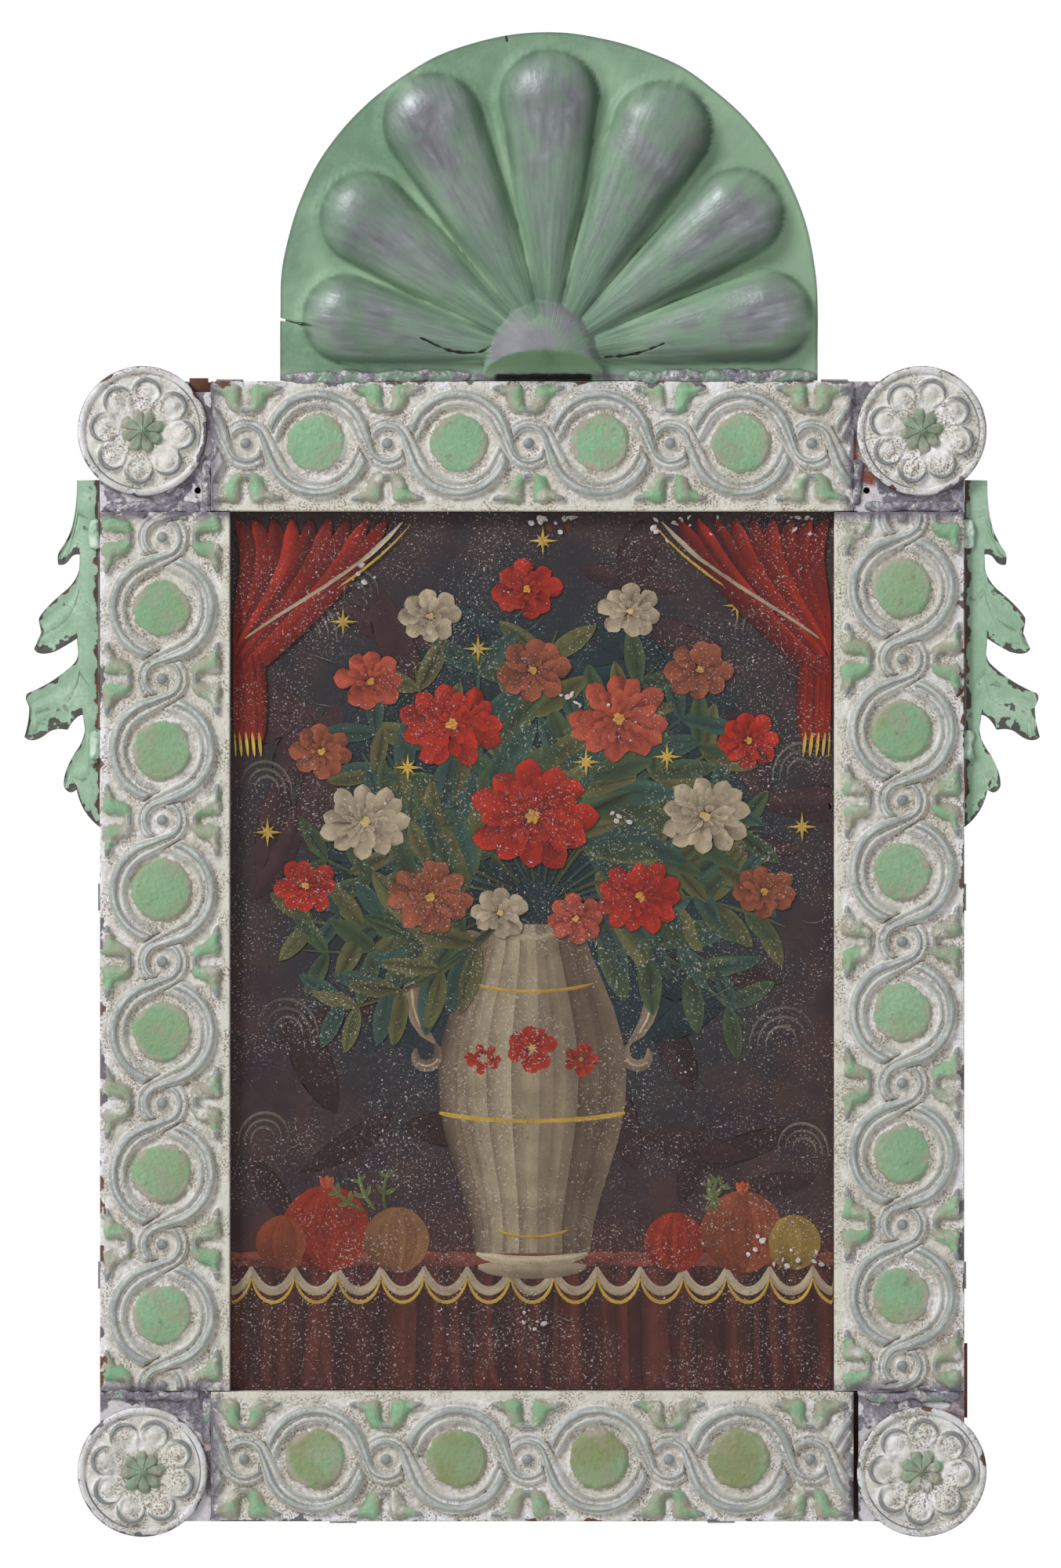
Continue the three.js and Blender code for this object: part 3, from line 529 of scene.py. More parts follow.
def crest(material):
    """The crest: rays of points from the middle of its foot to its outline, for the front and the
    back face of one sheet, torn a little at the left edge, and the foot folded back over the
    frame as a thin strip. Streaks follow the rays from the lobes' meeting point."""
    near_tear = TEAR_ANGLE + np.radians(np.linspace(-0.7, 0.7, 15))
    side = np.arctan2(CREST_RISE, CREST_R)
    angle = np.concatenate([np.linspace(0, np.pi, 372), near_tear, [side, np.pi - side]])
    angle = np.unique(np.round(angle, 6))
    share = np.concatenate([[0.001], np.linspace(0.012, 0.34, 50), np.linspace(0.348, 0.985, 60),
                            [0.995, 1.0]])
    s, a = np.meshgrid(share, angle, indexing="ij")
    reach = crest_reach(a, 0.0)
    reach = reach + 0.3 * value_noise(np.degrees(a) + 3, 0 * a, 7, 5) * smooth(np.sin(a), 0.1, 0.4)
    reach = reach * (1 - 0.085 * np.clip(1 - np.abs(a - TEAR_ANGLE) / np.radians(0.3), 0, 1))
    x, y = s * reach * np.cos(a), s * reach * np.sin(a)
    height, lobes, hub, under_face, shaded_flank = crest_height(x, y)
    ragged_line = 0.3 * value_noise(x + 200, y, 1.7, 19)
    crack = np.min([path_distance(x, y, line) for line in CRACKS], axis=0) + ragged_line
    rim = (1 - s) * reach
    dents = 0.3 * value_noise(x + 200, y, 14, 11) + 0.08 * value_noise(x + 200, y, 4, 12)
    inside = smooth(rim, 0.2, 3) * smooth(y, 0, 3)
    front = height + inside * dents - 0.5 * smooth(0.6 - crack, 0, 0.6) * inside
    back = np.maximum(height, 0) - CREST_SHEET
    front, back = (place(CREST_X + x, HALF_H + FOLD_NEAR + y, CREST_FRONT + w)
                   for w in (front, back))
    points, faces = sheet_shell(front, back)
    from_hub = np.hypot(x, y - HUB_Y)
    turn = np.mod(np.arctan2(y - HUB_Y, x) + np.pi / 2, 2 * np.pi)
    grain = np.stack([turn * 55, from_hub * 0.11, 0 * x], -1) * MM
    fields = {
        "crown": lobes / LOBE_HIGH,
        # Painted shade goes on the lobes' lower right flanks, away from the light.
        "shaded_flank": shaded_flank * smooth(from_hub, 24, 40),
        "dome": np.where(under_face, 0.0, smooth(hub, 2.5, 8)),
        "under_face": np.where(under_face & (hub > 0.05), 1.0, 0.0),
        # Painted shadow: near-black along the foot under the dome, where the dome overhangs the
        # field.
        "shadow_under_dome": smooth(3 + 0.8 * ragged_line - y, 0, 1.2) * smooth(19.5 - np.abs(x - DOME[0]), 0, 3),
        "crack": np.clip(crack, 0, 4),
        "rim": np.clip(rim, 0, 6),
        "foot": np.clip(y, 0, 20),
        "valley": valley_between(x, y),
        "grain": grain,
    }
    fields = {key: np.concatenate([value.reshape(x.size, -1)] * 2) for key, value in fields.items()}
    fields["behind"] = np.repeat([[0.0], [1.0]], x.size, axis=0)
    fold_half = CREST_R - 1.4
    fold = block_shell((CREST_X - fold_half, HALF_H + FOLD_NEAR, 1.2),
                       (CREST_X + fold_half, HALF_H + FOLD_FAR, 6.5))
    points, faces, fields = with_block(points, outward(points, faces), fields, fold, 0.0)
    fields["crack"][-8:] = 4
    return make_piece("embossed_crest", points, faces, material,
                      ["crest_shell"], fields, smooth_angle=75)


def valley_between(x, y):
    """1 on the narrow ridges of bare field between two lobes, fading to 0 on the lobes."""
    angle = np.arctan2(y - HUB_Y, x) - np.pi / 2
    folded = np.mod(angle, LOBE_STEP) - LOBE_STEP / 2
    radius = np.hypot(x, y - HUB_Y)
    length = smooth(radius, 24, 36) * smooth(92 - radius, 0, 16)
    return np.exp(-((folded * radius / 1.8) ** 2)) * length * (np.abs(angle) < 3.4 * LOBE_STEP)


def block_shell(low, high):
    """The eight corners and six faces of a plain strip of sheet."""
    x, y, w = np.meshgrid(*zip(low, high), indexing="ij")
    faces = [[0, 1, 3, 2], [4, 6, 7, 5], [0, 4, 5, 1], [2, 3, 7, 6], [0, 2, 6, 4], [1, 5, 7, 3]]
    return place(x.ravel(), y.ravel(), w.ravel()), faces


def with_block(points, faces, fields, block, value):
    """A mesh and its fields with a block_shell added to it, the fields at a value all over it."""
    block_points, block_faces = block
    faces = faces + [[i + len(points) for i in face] for face in outward(block_points, block_faces)]
    fields = {key: np.concatenate([field, np.full((8, field.shape[1]), value)])
              for key, field in fields.items()}
    return np.concatenate([points, block_points]), faces, fields


# Cut leaves.

# How high above the painting's middle a leaf starts, and how far from the wall side it lies.
LEAF_TOP = 174.5
LEAF_FRONT = 4.6
# Each entry bends the edge through a control point to its next point, going down the leaf.
LEAF_EDGE = [
    (8.6, -12, 11.2, -19.5), (13.3, -24, 15.4, -26.8), (16.2, -28.8, 15.6, -31.4),
    (13, -32, 11.4, -29.4), (10, -27.2, 7.7, -27.6), (6.6, -35, 12.2, -40.4),
    (20.2, -46.8, 22.8, -51.2), (23, -54, 21.2, -55), (22.8, -58.6, 24.6, -62.6),
    (23, -65.6, 16.9, -63.6), (12, -61, 8.7, -58.7), (7.2, -64, 9.4, -67.6), (16.8, -75, 27, -79),
    (28.6, -80.8, 26.4, -83.4), (26, -88.6, 28.2, -95.2), (25, -98.4, 19.2, -93.4),
    (16.4, -91.6, 12.2, -92.6), (9.4, -87.2, 6.6, -87), (4.4, -93, 8, -99),
    (14, -107.4, 13.6, -113.4), (11.6, -117.4, 8.8, -114.6), (7.2, -123.4, 0.3, -128.6),
]
LEAF_END = len(LEAF_EDGE)
# For each lobe: its tip and its lower notch as places in LEAF_EDGE, and where its base starts
# and ends on the frame.
LEAF_LOBES = [(3, 5, 0.0, -36.0), (9, 11, -36.0, -68.0), (15, 18, -68.0, -98.0),
              (20, LEAF_END, -98.0, -128.6)]


def leaf_edge_points(first, last):
    """The leaf's edge from one place in LEAF_EDGE to another, as quadratic curves."""
    points = [(8.7, -0.2)] + [(x, y) for _, _, x, y in LEAF_EDGE]
    run = [np.array([points[first]])]
    t = np.linspace(0, 1, 9)[1:, None]
    for k in range(first, last):
        start, (cx, cy, x, y) = np.array(points[k]), LEAF_EDGE[k]
        control, stop = np.array([cx, cy]), np.array([x, y])
        run.append((1 - t) ** 2 * start + 2 * t * (1 - t) * control + t**2 * stop)
    return np.concatenate(run)


def resample(path, count):
    """A path's points taken again at equal steps along it."""
    path = np.asarray(path, float)
    length = np.concatenate([[0], np.cumsum(np.hypot(*np.diff(path, axis=0).T))])
    wanted = np.linspace(0, length[-1], count)
    return np.stack([np.interp(wanted, length, path[:, k]) for k in range(path.shape[1])], -1)


def cut_leaf(name, node, side, material, seed):
    """One leaf. Each lobe is a ruled patch between its upper and its lower edge, and both edges
    start with the line from the frame to a notch, which neighbouring lobes share. The sheet
    swells between the veins, curls up a little at the lobes' ends, and its inner strip folds
    back along the frame. The field rim is the distance to the edge, halved at lower edges, so
    that the dark chipped band is wider along them."""
    points, faces, fields = [], [], {"rim": [], "vein": [], "root": [], "tip": [], "grain": []}
    first = 0
    previous_notch = 0
    for tip, notch, base_top, base_low in LEAF_LOBES:
        edges = []
        for base, start, end in ((base_top, previous_notch, tip), (base_low, notch, tip)):
            run = leaf_edge_points(min(start, end), max(start, end))
            run = run if start <= end else run[::-1]
            base = max(base, -114.0) if start == LEAF_END else base
            root = resample([(FOLD_NEAR, base), tuple(run[0])], 14)
            edges.append(np.concatenate([root[:-1], resample(run, 40)]))
        across = np.linspace(0, 1, 21)
        patch = edges[0][:, None] * (1 - across)[:, None] + edges[1][:, None] * across[:, None]
        x, y = patch[..., 0], patch[..., 1]
        wide = np.hypot(*(edges[0] - edges[1]).T)[:, None]
        along = np.linspace(0, 1, len(x))[:, None]
        rim = np.where(along < 0.25, 4.0, np.minimum(across, 0.5 * (1 - across)) * wide)
        rim = np.minimum(rim, 0.8 * (1 - along) * wide.max())
        vein = np.abs(across - 0.5 + 0.05 * np.sin(9 * along)) * wide
        swell = 0.8 * smooth(vein, 0, 2.2) + 0.9 * smooth(along, 0.75, 1)
        ripple = 0.35 * np.cos(across * 4 * np.pi) * smooth(along, 0.2, 0.6) * smooth(wide, 3, 9)
        w = LEAF_FRONT - 0.9 + (0.6 * swell + ripple) * smooth(x, 1, 5)
        w = w + 0.2 * value_noise(x + 40, y + 200, 8, seed)
        points.append(np.stack([x, y, w], -1).reshape(-1, 3))
        faces.append(grid_quads(*x.shape, first=first))
        fields["rim"].append(np.clip(rim, 0, 4).ravel())
        fields["vein"].append(np.clip(vein, 0, 4).ravel())
        fields["root"].append(np.clip(x, 0, 6).ravel())
        fields["tip"].append((along + 0 * x).ravel())
        grain = np.stack(np.broadcast_arrays(across * wide, along * 4, 0), -1) * MM
        fields["grain"].append(grain.reshape(-1, 3))
        first += x.size
        previous_notch = notch
    x, y, w = np.concatenate(points).T
    front = place(side * (HALF_W + x), LEAF_TOP + y, w)
    back = place(side * (HALF_W + x), LEAF_TOP + y, w - SHEET)
    points, faces = close_patches(front, back, np.concatenate(faces))
    fields = {key: np.concatenate([*value, *value]).reshape(len(points), -1)
              for key, value in fields.items()}
    fields["behind"] = np.repeat([[0.0], [1.0]], len(front), axis=0)
    fold = block_shell((side * (HALF_W + FOLD_NEAR), LEAF_TOP - 112, 1.4),
                       (side * (HALF_W + FOLD_FAR), LEAF_TOP - 8, 4.0))
    points, faces, fields = with_block(points, outward(points, faces), fields, fold, 2.0)
    return make_piece(name, points, faces, material, [node], fields,
                      smooth_angle=50)


def close_patches(front, back, quads):
    """A closed sheet from patches: their front and back faces, and a rim along every edge that
    only one face of the front uses, once the points that patches share are made one."""
    _, shared = np.unique(np.round(front * 1e6).astype(np.int64), axis=0, return_inverse=True)
    shared = shared.ravel()
    first_of = np.full(shared.max() + 1, len(front))
    np.minimum.at(first_of, shared, np.arange(len(front)))
    quads = first_of[shared[quads]]
    quads = quads[(quads[:, 0] != quads[:, 2]) & (quads[:, 1] != quads[:, 3])]
    edges = np.stack([quads, np.roll(quads, -1, axis=1)], -1).reshape(-1, 2)
    edges = edges[edges[:, 0] != edges[:, 1]]
    keys = {tuple(edge) for edge in edges.tolist()}
    rim = [edge for edge in keys if edge[::-1] not in keys]
    count = len(front)
    faces = [[a for k, a in enumerate(q) if a != q[k - 1]] for q in quads.tolist()]
    back_faces = [[a + count for a in face[::-1]] for face in faces]
    sides = [[b, a, a + count, b + count] for a, b in rim]
    return np.concatenate([front, back]), faces + back_faces + sides


# Solder, wire and paint.

WIRE_R = 1.1
# The strokes lie just in front of the painted sheet, each a little over the one before it, and
# within this half width and half height.
FIRST_STROKE = 1.83
STROKE_STEP = 0.0005
PAINTED_HALF = (111.5, 162.5)
NAIL_HOLES = ((6.2, 157), (13.5, 157))
NAIL_HOLE_R = 1.9


def solder_run(node, spread, material, seed, painted=False):
    """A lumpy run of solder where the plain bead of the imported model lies: a rectangle whose long
    edges wander, raised to half a lens whose height swells along its length."""
    low, high = (np.array(corner) * 1000 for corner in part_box(node))
    middle, size = (low + high) / 2, high - low
    upright = size[2] > size[0]
    length, width = (size[2], size[0]) if upright else (size[0], size[2])
    t, s = np.meshgrid(np.linspace(-1, 1, int(length / 0.45) + 8), np.linspace(-1, 1, 13),
                       indexing="ij")
    along = t * (length / 2 + spread)
    wander = 1 + 0.3 * value_noise(along + 50 * seed, s * 2 + 20, 3.2, seed)
    ends = np.sqrt(np.clip(1 - np.abs(t) ** 9, 0, 1))
    across = s * (width / 2 + spread) * wander * (0.15 + 0.85 * ends)
    across = across + 0.6 * value_noise(along, 0 * s + 9, 5, seed + 3)
    lump = 0.72 + 0.28 * value_noise(along, across, 2.6, seed + 5)
    lump = lump + 0.16 * value_noise(along, across, 0.9, seed + 6)
    rise = (size[1] + 0.35) * np.sqrt(np.clip(1 - s**2, 0, 1)) * ends * lump
    across, along = (across, along) if upright else (along, across)
    front = np.stack([middle[0] + across, high[1] - rise, middle[2] + along], -1) * MM
    back = np.stack([middle[0] + across, high[1] + 0.3 + 0 * rise, middle[2] + along], -1) * MM
    points, faces = sheet_shell(front, back)
    fields = None
    if painted:
        fields = {key: np.full(len(points), 3.0) for key in ("rim", "vein", "root")}
        fields["tack"] = np.ones(len(points))
    return make_piece("run_of_" + node, points, outward(points, faces), material,
                      [node], fields, smooth_angle=80)


def wire_ring(material):
    """The hanging ring: a round section carried along a straight bar and a bow that meets it in
    two small bends, the whole path joined end to end."""
    arcs = ((8, -3, 3, 90, 0, 12), (0, -8, 11, 0, -180, 60), (-8, -3, 3, 180, 90, 12))
    path = np.array([
        (cx + r * np.cos(a), cy + r * np.sin(a), np.cos(a), np.sin(a))
        for cx, cy, r, start, stop, count in arcs
        for a in np.radians(np.linspace(start, stop, count))])
    a = np.linspace(0, 2 * np.pi, 20, endpoint=False)
    out, up = WIRE_R * np.cos(a), WIRE_R * np.sin(a)
    x = path[:, :1] + path[:, 2:3] * out
    y = path[:, 1:2] + path[:, 3:4] * out
    points = place(x, BAR_HEIGHT + y, up - BAR_DEPTH)
    rows, columns = points.shape[:2]
    quads = grid_quads(rows + 1, columns, looped=True) % (rows * columns)
    flat = points.reshape(-1, 3)
    return make_piece("wire_hanging_ring", flat, outward(flat, quads.tolist()), material,
                      ["hanging_ring"], body="ring")


def squeezed(value, limit):
    """Squeezes what lies in the last 4 mm before a limit and beyond it into those 4 mm."""
    over = np.maximum(np.abs(value) - limit + 4, 0)
    return np.sign(value) * (np.minimum(np.abs(value), limit - 4) + 4 * np.tanh(over / 4))


def reached(x, y, r, a):
    """The point at a distance r from another in the direction a."""
    return x + r * np.cos(a), y + r * np.sin(a)


def mirrored(flip, *points):
    """The points, moved to the left side of the picture where flip is -1."""
    return [(flip * x, y) for x, y in points]


class Brush:
    """Strokes of oil paint on the sheet, each a closed lens of paint along a curved path."""

    ROWS = 12
    # Four lanes, so that a stroke's two ends are closed by four-cornered faces like the others.
    LANES = 4

    def __init__(self, seed):
        self.random = np.random.default_rng(seed)
        self.strokes = []
        self.colours = []
        self.layer = FIRST_STROKE

    def stroke(self, path, width, dark, light, belly=1.0, blunt=0.6, side=0.5, tip=0.3,
               thick=0.1, streak=0.16):
        """A stroke through the control points of a Bezier curve. Its half width is a power of a
        sine whose top is moved by belly; its colour goes from dark to light across it by side,
        along it by tip, and from hair to hair of the brush by streak."""
        t = np.linspace(0, 1, self.ROWS)[:, None]
        points = np.broadcast_to(path, (self.ROWS, len(path), 2))
        while points.shape[1] > 1:
            points = points[:, :-1] * (1 - t[:, None]) + points[:, 1:] * t[:, None]
        line = points[:, 0]
        along = np.gradient(line, axis=0)
        along /= np.maximum(np.hypot(*along.T)[:, None], 1e-9)
        swelling = np.sin(np.pi * np.clip(t, 0.004, 0.996) ** belly) ** blunt
        half = np.maximum(width / 2 * swelling, 0.03)
        s = np.linspace(-1, 1, self.LANES)[None, :]
        x = squeezed(line[:, :1] - along[:, 1:2] * half * s, PAINTED_HALF[0])
        y = squeezed(line[:, 1:2] + along[:, 0:1] * half * s, PAINTED_HALF[1])
        self.layer += STROKE_STEP
        w = self.layer + 0.35 * thick * np.sqrt(1 - 0.96 * s**2) * np.minimum(1, half / 0.8)
        self.strokes.append(np.stack(np.broadcast_arrays(x, y, w), -1))
        hair = self.random.normal(0, streak, (1, self.LANES))
        hair = hair + self.random.normal(0, streak / 3, (self.ROWS, self.LANES))
        share = np.clip(0.5 + side * s / 2 + tip * (t - 0.5) + hair, 0, 1)[..., None]
        colour = np.array(linear(dark)) * (1 - share) + np.array(linear(light)) * share
        self.colours.append(np.concatenate([colour, np.ones((*share.shape[:2], 1))], -1))

    def lay(self, name, material):
        """All strokes since the last call as one piece."""
        points = np.concatenate([place(*stroke.reshape(-1, 3).T) for stroke in self.strokes])
        size = self.ROWS * self.LANES
        base = outward(points[:size], capped_tube(points[:size].reshape(self.ROWS, self.LANES, 3)))
        steps = np.arange(len(self.strokes))[:, None, None] * size
        faces = (np.array(base)[None] + steps).reshape(-1, 4).tolist()
        colours = np.concatenate([colour.reshape(-1, 4) for colour in self.colours])
        self.strokes, self.colours = [], []
        return make_piece(name, points, faces, material,
                          fields={"paint_colour": colours})

    def flower(self, x, y, radius, dark, light, petals, rings):
        """A round bloom, a little flattened: rings of petals from the outside in, each petal a
        stroke from its root to its rounded tip, and a yellow heart of seven short strokes."""
        for ring in range(rings):
            reach = radius * (1 - ring / (rings + 0.4))
            for k in range(petals):
                a = 2 * np.pi * (k + 0.5 * (ring % 2)) / petals + self.random.normal(0, 0.08)
                c, s = np.cos(a), 0.85 * np.sin(a)
                r = reach * self.random.uniform(0.92, 1.06)
                bend = self.random.normal(0, 0.12) * r
                mid = (x + 0.6 * r * c - bend * s, y + 0.6 * r * s + bend * c)
                self.stroke([(x + 0.12 * r * c, y + 0.12 * r * s), mid, (x + r * c, y + r * s)],
                            1.45 * np.pi * r / petals, dark, light, belly=1.9, blunt=0.75,
                            side=0.3 if ring else 0.5, tip=0.75)
        for _ in range(7):
            a = self.random.uniform(0, 6.28)
            r = radius * 0.13
            self.stroke([reached(x, y, r, a), (x + 0.3 * r, y), (x - r * np.cos(a), y)],
                        radius * 0.12, "#c9a546", light, tip=0.6)

    def spray(self, x, y, angle, length, leaves, dark, light):
        """A curved stalk with leaves by pairs, each leaf two half strokes along its rib."""
        bend = reached(x, y, 0.5 * length, angle + 0.35)
        end = reached(x, y, length, angle)
        self.stroke([(x, y), bend, end], 1.5, dark, light, blunt=0.25)
        for k in range(leaves):
            t = (k + 1) / (leaves + 0.5)
            px = (1 - t) ** 2 * x + 2 * t * (1 - t) * bend[0] + t * t * end[0]
            py = (1 - t) ** 2 * y + 2 * t * (1 - t) * bend[1] + t * t * end[1]
            for turn in (-1, 1):
                a = angle + turn * self.random.uniform(0.6, 1.05)
                size = length * 0.34 * (1.15 - 0.5 * t)
                rib_x, rib_y = reached(px, py, 0.5 * size, a)
                for half in (-1, 1):
                    off = half * size * 0.11
                    mid = (rib_x - off * np.sin(a), rib_y + off * np.cos(a))
                    self.stroke([(px, py), mid, reached(px, py, size, a)], size * 0.24, dark,
                                light, belly=0.9, side=0.7 * half, tip=0.2)

    def fruit(self, x, y, radius, dark, light):
        """A round fruit: crescent strokes from its shaded side to its lit side."""
        for k in range(9):
            share = k / 8
            shift = 0.15 * (radius * (0.9 - 1.65 * share))
            bulge = radius * (1.0 - 2.1 * share) * 1.25
            self.stroke([(x + shift, y - radius), (x + bulge, y), (x + shift, y + radius)],
                        radius * 0.62, dark, light, side=-0.25,
                        tip=0.5 * (share - 0.3) + 0.25 * share, streak=0.1)

    def star(self, x, y, radius, dark, light):
        """A star of eight thin rays, every other one short."""
        for k in range(4):
            a, r = np.pi * k / 4, radius * (0.62 if k % 2 else 1)
            self.stroke([reached(x, y, -r, a), reached(x, y, r, a)], radius * 0.24, dark, light,
                        blunt=1.2, tip=0.0)


def paint_still_life(material):
    """The picture in the frame: a fluted jar of flowers on a covered ledge, between two drapes,
    laid on from the back to the front, each part a piece of its own."""
    brush = Brush(31)
    for part in (dark_ground, ledge, jar, foliage, blooms, drapes, worn_places):
        part(brush)
        brush.lay("painted_" + part.__name__, material)


def dark_ground(brush):
    """Broad clouded strokes, blue-green behind the flowers and brown round them, and on them pale
    curled arcs."""
    noise = brush.random
    teal, brown, umber = ("#142226", "#23343a"), ("#2b1d20", "#3f2b2f"), ("#231819", "#352325")
    for k in range(64):
        x, y = noise.uniform(-108, 108), noise.uniform(-105, 158)
        pair = teal if np.hypot(x / 75, (y - 35) / 95) < 1 else (brown if y > 0 else umber)
        a = noise.uniform(-0.6, 0.6) + (np.pi / 2 if k % 2 else 0)
        r = noise.uniform(12, 26)
        (left, low), (right, high) = reached(x, y, -r, a), reached(x, y, r, a)
        brush.stroke([(left, np.clip(low, -118, 160)), (x + noise.normal(0, 5), y),
                      (np.clip(right, -110, 110), np.clip(high, -118, 160))],
                     noise.uniform(9, 15), *pair, thick=0.02, streak=0.3)
    arcs = ((-84, 118, 13, 1), (86, 120, 12, -1), (-98, 60, 10, 1), (99, 66, 11, -1),
            (-90, -30, 12, 1), (92, -34, 13, -1), (-66, 132, 9, -1), (70, 138, 9, 1),
            (-100, -70, 10, -1), (101, -74, 10, 1))
    for x, y, r, flip in arcs:
        for k in range(3):
            size = r * (1 - 0.27 * k)
            wide = flip * size
            brush.stroke([(x - wide, y), (x - wide, y + 1.5 * size), (x + wide, y + 1.3 * size),
                          (x + wide * 0.9, y - 0.3 * size)], 1.1, "#33373b", "#716b5e",
                         blunt=0.5, side=0, tip=0.5, thick=0.04)


def ledge(brush):
    """The ledge below: a red-brown cloth with hanging folds and a cream edge, and fruit on it."""
    noise = brush.random
    for k in range(46):
        x = -118 + 5.2 * k
        top = -116 + 1.5 * np.sin(k * 0.7)
        brush.stroke([(x, top), (x + noise.normal(0, 3), -140), (x + noise.normal(0, 3), -163)],
                     noise.uniform(6, 9), "#271817", "#5a2f29" if k % 3 else "#3d2220",
                     thick=0.05, blunt=0.25, side=0.9 if k % 2 else -0.9)
    for k in range(15):
        x = -112 + 16 * k
        for drop, width, pair in ((0, 3.4, ("#7d6b58", "#b3a48b")),
                                  (4.2, 1.3, ("#8a6a2a", "#c8a648"))):
            top, low = -117 - drop, -129 - drop
            brush.stroke([(x - 8, top), (x - 5, low), (x + 5, low), (x + 8, top)], width, *pair,
                         blunt=0.3, side=0.4, thick=0.08)
    for k in range(22):
        x = -113 + 10.7 * k
        brush.stroke([(x - 9, -114.5), (x, -113.5), (x + 9, -115)], 5.5, "#3b2321", "#8a4a3c",
                     blunt=0.3, thick=0.06)
    for fruit in ((-76, -103, 16, "#3d1210", "#963523"), (-50, -107, 12, "#45291c", "#8f6746"),
                  (-92, -108, 10, "#482018", "#87462f"), (78, -104, 15, "#421d16", "#904c32"),
                  (53, -108, 11, "#43110f", "#9b3625"), (97, -108, 10, "#54401f", "#93783a")):
        brush.fruit(*fruit)
    for x, y in ((-76, -88), (78, -90)):
        for a in (1.1, 1.57, 2.05):
            brush.stroke([(x, y), reached(x, y, 5, a)], 2.6, "#6b2a1c", "#c0603a", blunt=0.8)
    for k in range(3):
        brush.spray(-62 + 4 * k, -96, 2.5 - 0.5 * k, 15, 2, "#26301f", "#6c7444")
        brush.spray(64 + 3 * k, -97, 0.9 + 0.5 * k, 14, 2, "#26301f", "#6c7444")


def jar_half(y):
    """Half width of the jar at a height: foot, waist, belly, shoulder, neck and lip."""
    heights = [-118, -112, -106, -92, -62, -34, -14, -4, 6, 12]
    halves = [21, 21, 13, 19, 35, 37, 25, 15, 14, 19]
    return np.interp(y, heights, halves)


def jar(brush):
    """A tall cream jar with upright flutes, two scrolled handles and gold bands."""
    for flip in (-1, 1):
        for width, pair in ((6.5, ("#4a3c33", "#8d7a64")), (2.6, ("#8d7a64", "#c3b397"))):
            brush.stroke(mirrored(flip, (14, 4), (46, 14), (52, -22), (36, -34)), width, *pair,
                         blunt=0.35, side=flip * 0.4)
            brush.stroke(mirrored(flip, (36, -34), (30, -44), (46, -46), (43, -36)), width * 0.7,
                         *pair, blunt=0.4)
    level = np.linspace(-112, 10, 9)
    flutes = np.linspace(-1, 1, 17)
    for share in flutes[np.argsort(-np.abs(flutes))]:
        x = jar_half(level) * np.sin(share * 1.35) / np.sin(1.35) * 0.93
        lit = np.clip(1 - abs(share + 0.35) * 1.05, 0, 1)
        dark = "#40332b" if lit < 0.35 else "#5b4b3e"
        light = "#6d5e4d" if lit < 0.2 else ("#8e7f6a" if lit < 0.6 else "#b0a287")
        brush.stroke(list(zip(x, level)), 10.5, dark, light, blunt=0.22, side=-0.75, tip=0.1,
                     streak=0.14)
        brush.stroke(list(zip(x + 1.6, level)), 1.2, "#43342c", "#6a5747", blunt=0.5, thick=0.05)
    for y, rise in ((-112, 4), (8, 5), (-103, 2.4), (-12, 2.6), (-60, 3)):
        half = jar_half(y) * 0.98
        pair = ("#7d5c22", "#d0ab4a") if rise < 4 else ("#6e5c4c", "#c9bb9f")
        brush.stroke([(-half, y), (-half * 0.5, y - 4), (half * 0.5, y - 4), (half, y)], rise,
                     *pair, blunt=0.25, side=0.6, tip=-0.3)
    brush.stroke([(-20, -117), (0, -120), (20, -117)], 6, "#4f4035", "#a8977e", blunt=0.3,
                 tip=-0.3)
    for x, y, radius in ((-18, -40, 7), (18, -40, 7), (0, -36, 10)):
        brush.flower(x, y, radius, "#5c1711", "#a03323", 7, 2)


def foliage(brush):
    """Leafy sprays fanned out behind the blooms."""
    noise = brush.random
    for k in range(30):
        a = np.radians(-28 + 236 * k / 29) + noise.normal(0, 0.06)
        start = (10 * np.cos(a), 18 + 8 * np.sin(a))
        pair = [("#18221c", "#45553a"), ("#182424", "#395349"), ("#242619", "#605f3c")][k % 3]
        length = noise.uniform(70, 100) * (1 - 0.12 * abs(np.cos(a)))
        brush.spray(*start, a, length, 4, *pair)


def blooms(brush):
    """Round blooms from the outside of the bunch to its middle, and small yellow stars."""
    cream, red = ("#57473b", "#b3a48a"), ("#440f0e", "#ac3021")
    clay, rose = ("#412019", "#93523a"), ("#4d1917", "#ad503b")
    placed = [
        (-84, 24, 12, red), (86, 22, 12, clay), (-78, 74, 12, clay), (80, 78, 12, red),
        (-2, 134, 13, red), (-38, 124, 12, cream), (36, 126, 12, cream), (-60, 100, 13, rose),
        (62, 104, 13, clay), (-62, 48, 17, cream), (64, 50, 17, cream), (-30, 84, 19, red),
        (32, 86, 19, rose), (0, 104, 14, clay), (-38, 20, 16, clay), (40, 20, 16, red),
        (0, 50, 24, red), (-12, 14, 11, cream), (16, 12, 11, rose),
    ]
    for x, y, radius, pair in placed:
        brush.flower(x, y, radius, *pair, *((11, 4) if radius > 15 else (8, 3)))
    for x, y in ((-98, 44), (100, 46), (-20, 112), (20, 70), (-70, 122), (76, 128), (-46, 68),
                 (50, 72), (4, 152)):
        brush.star(x, y, 5.5, "#856523", "#cdae55")


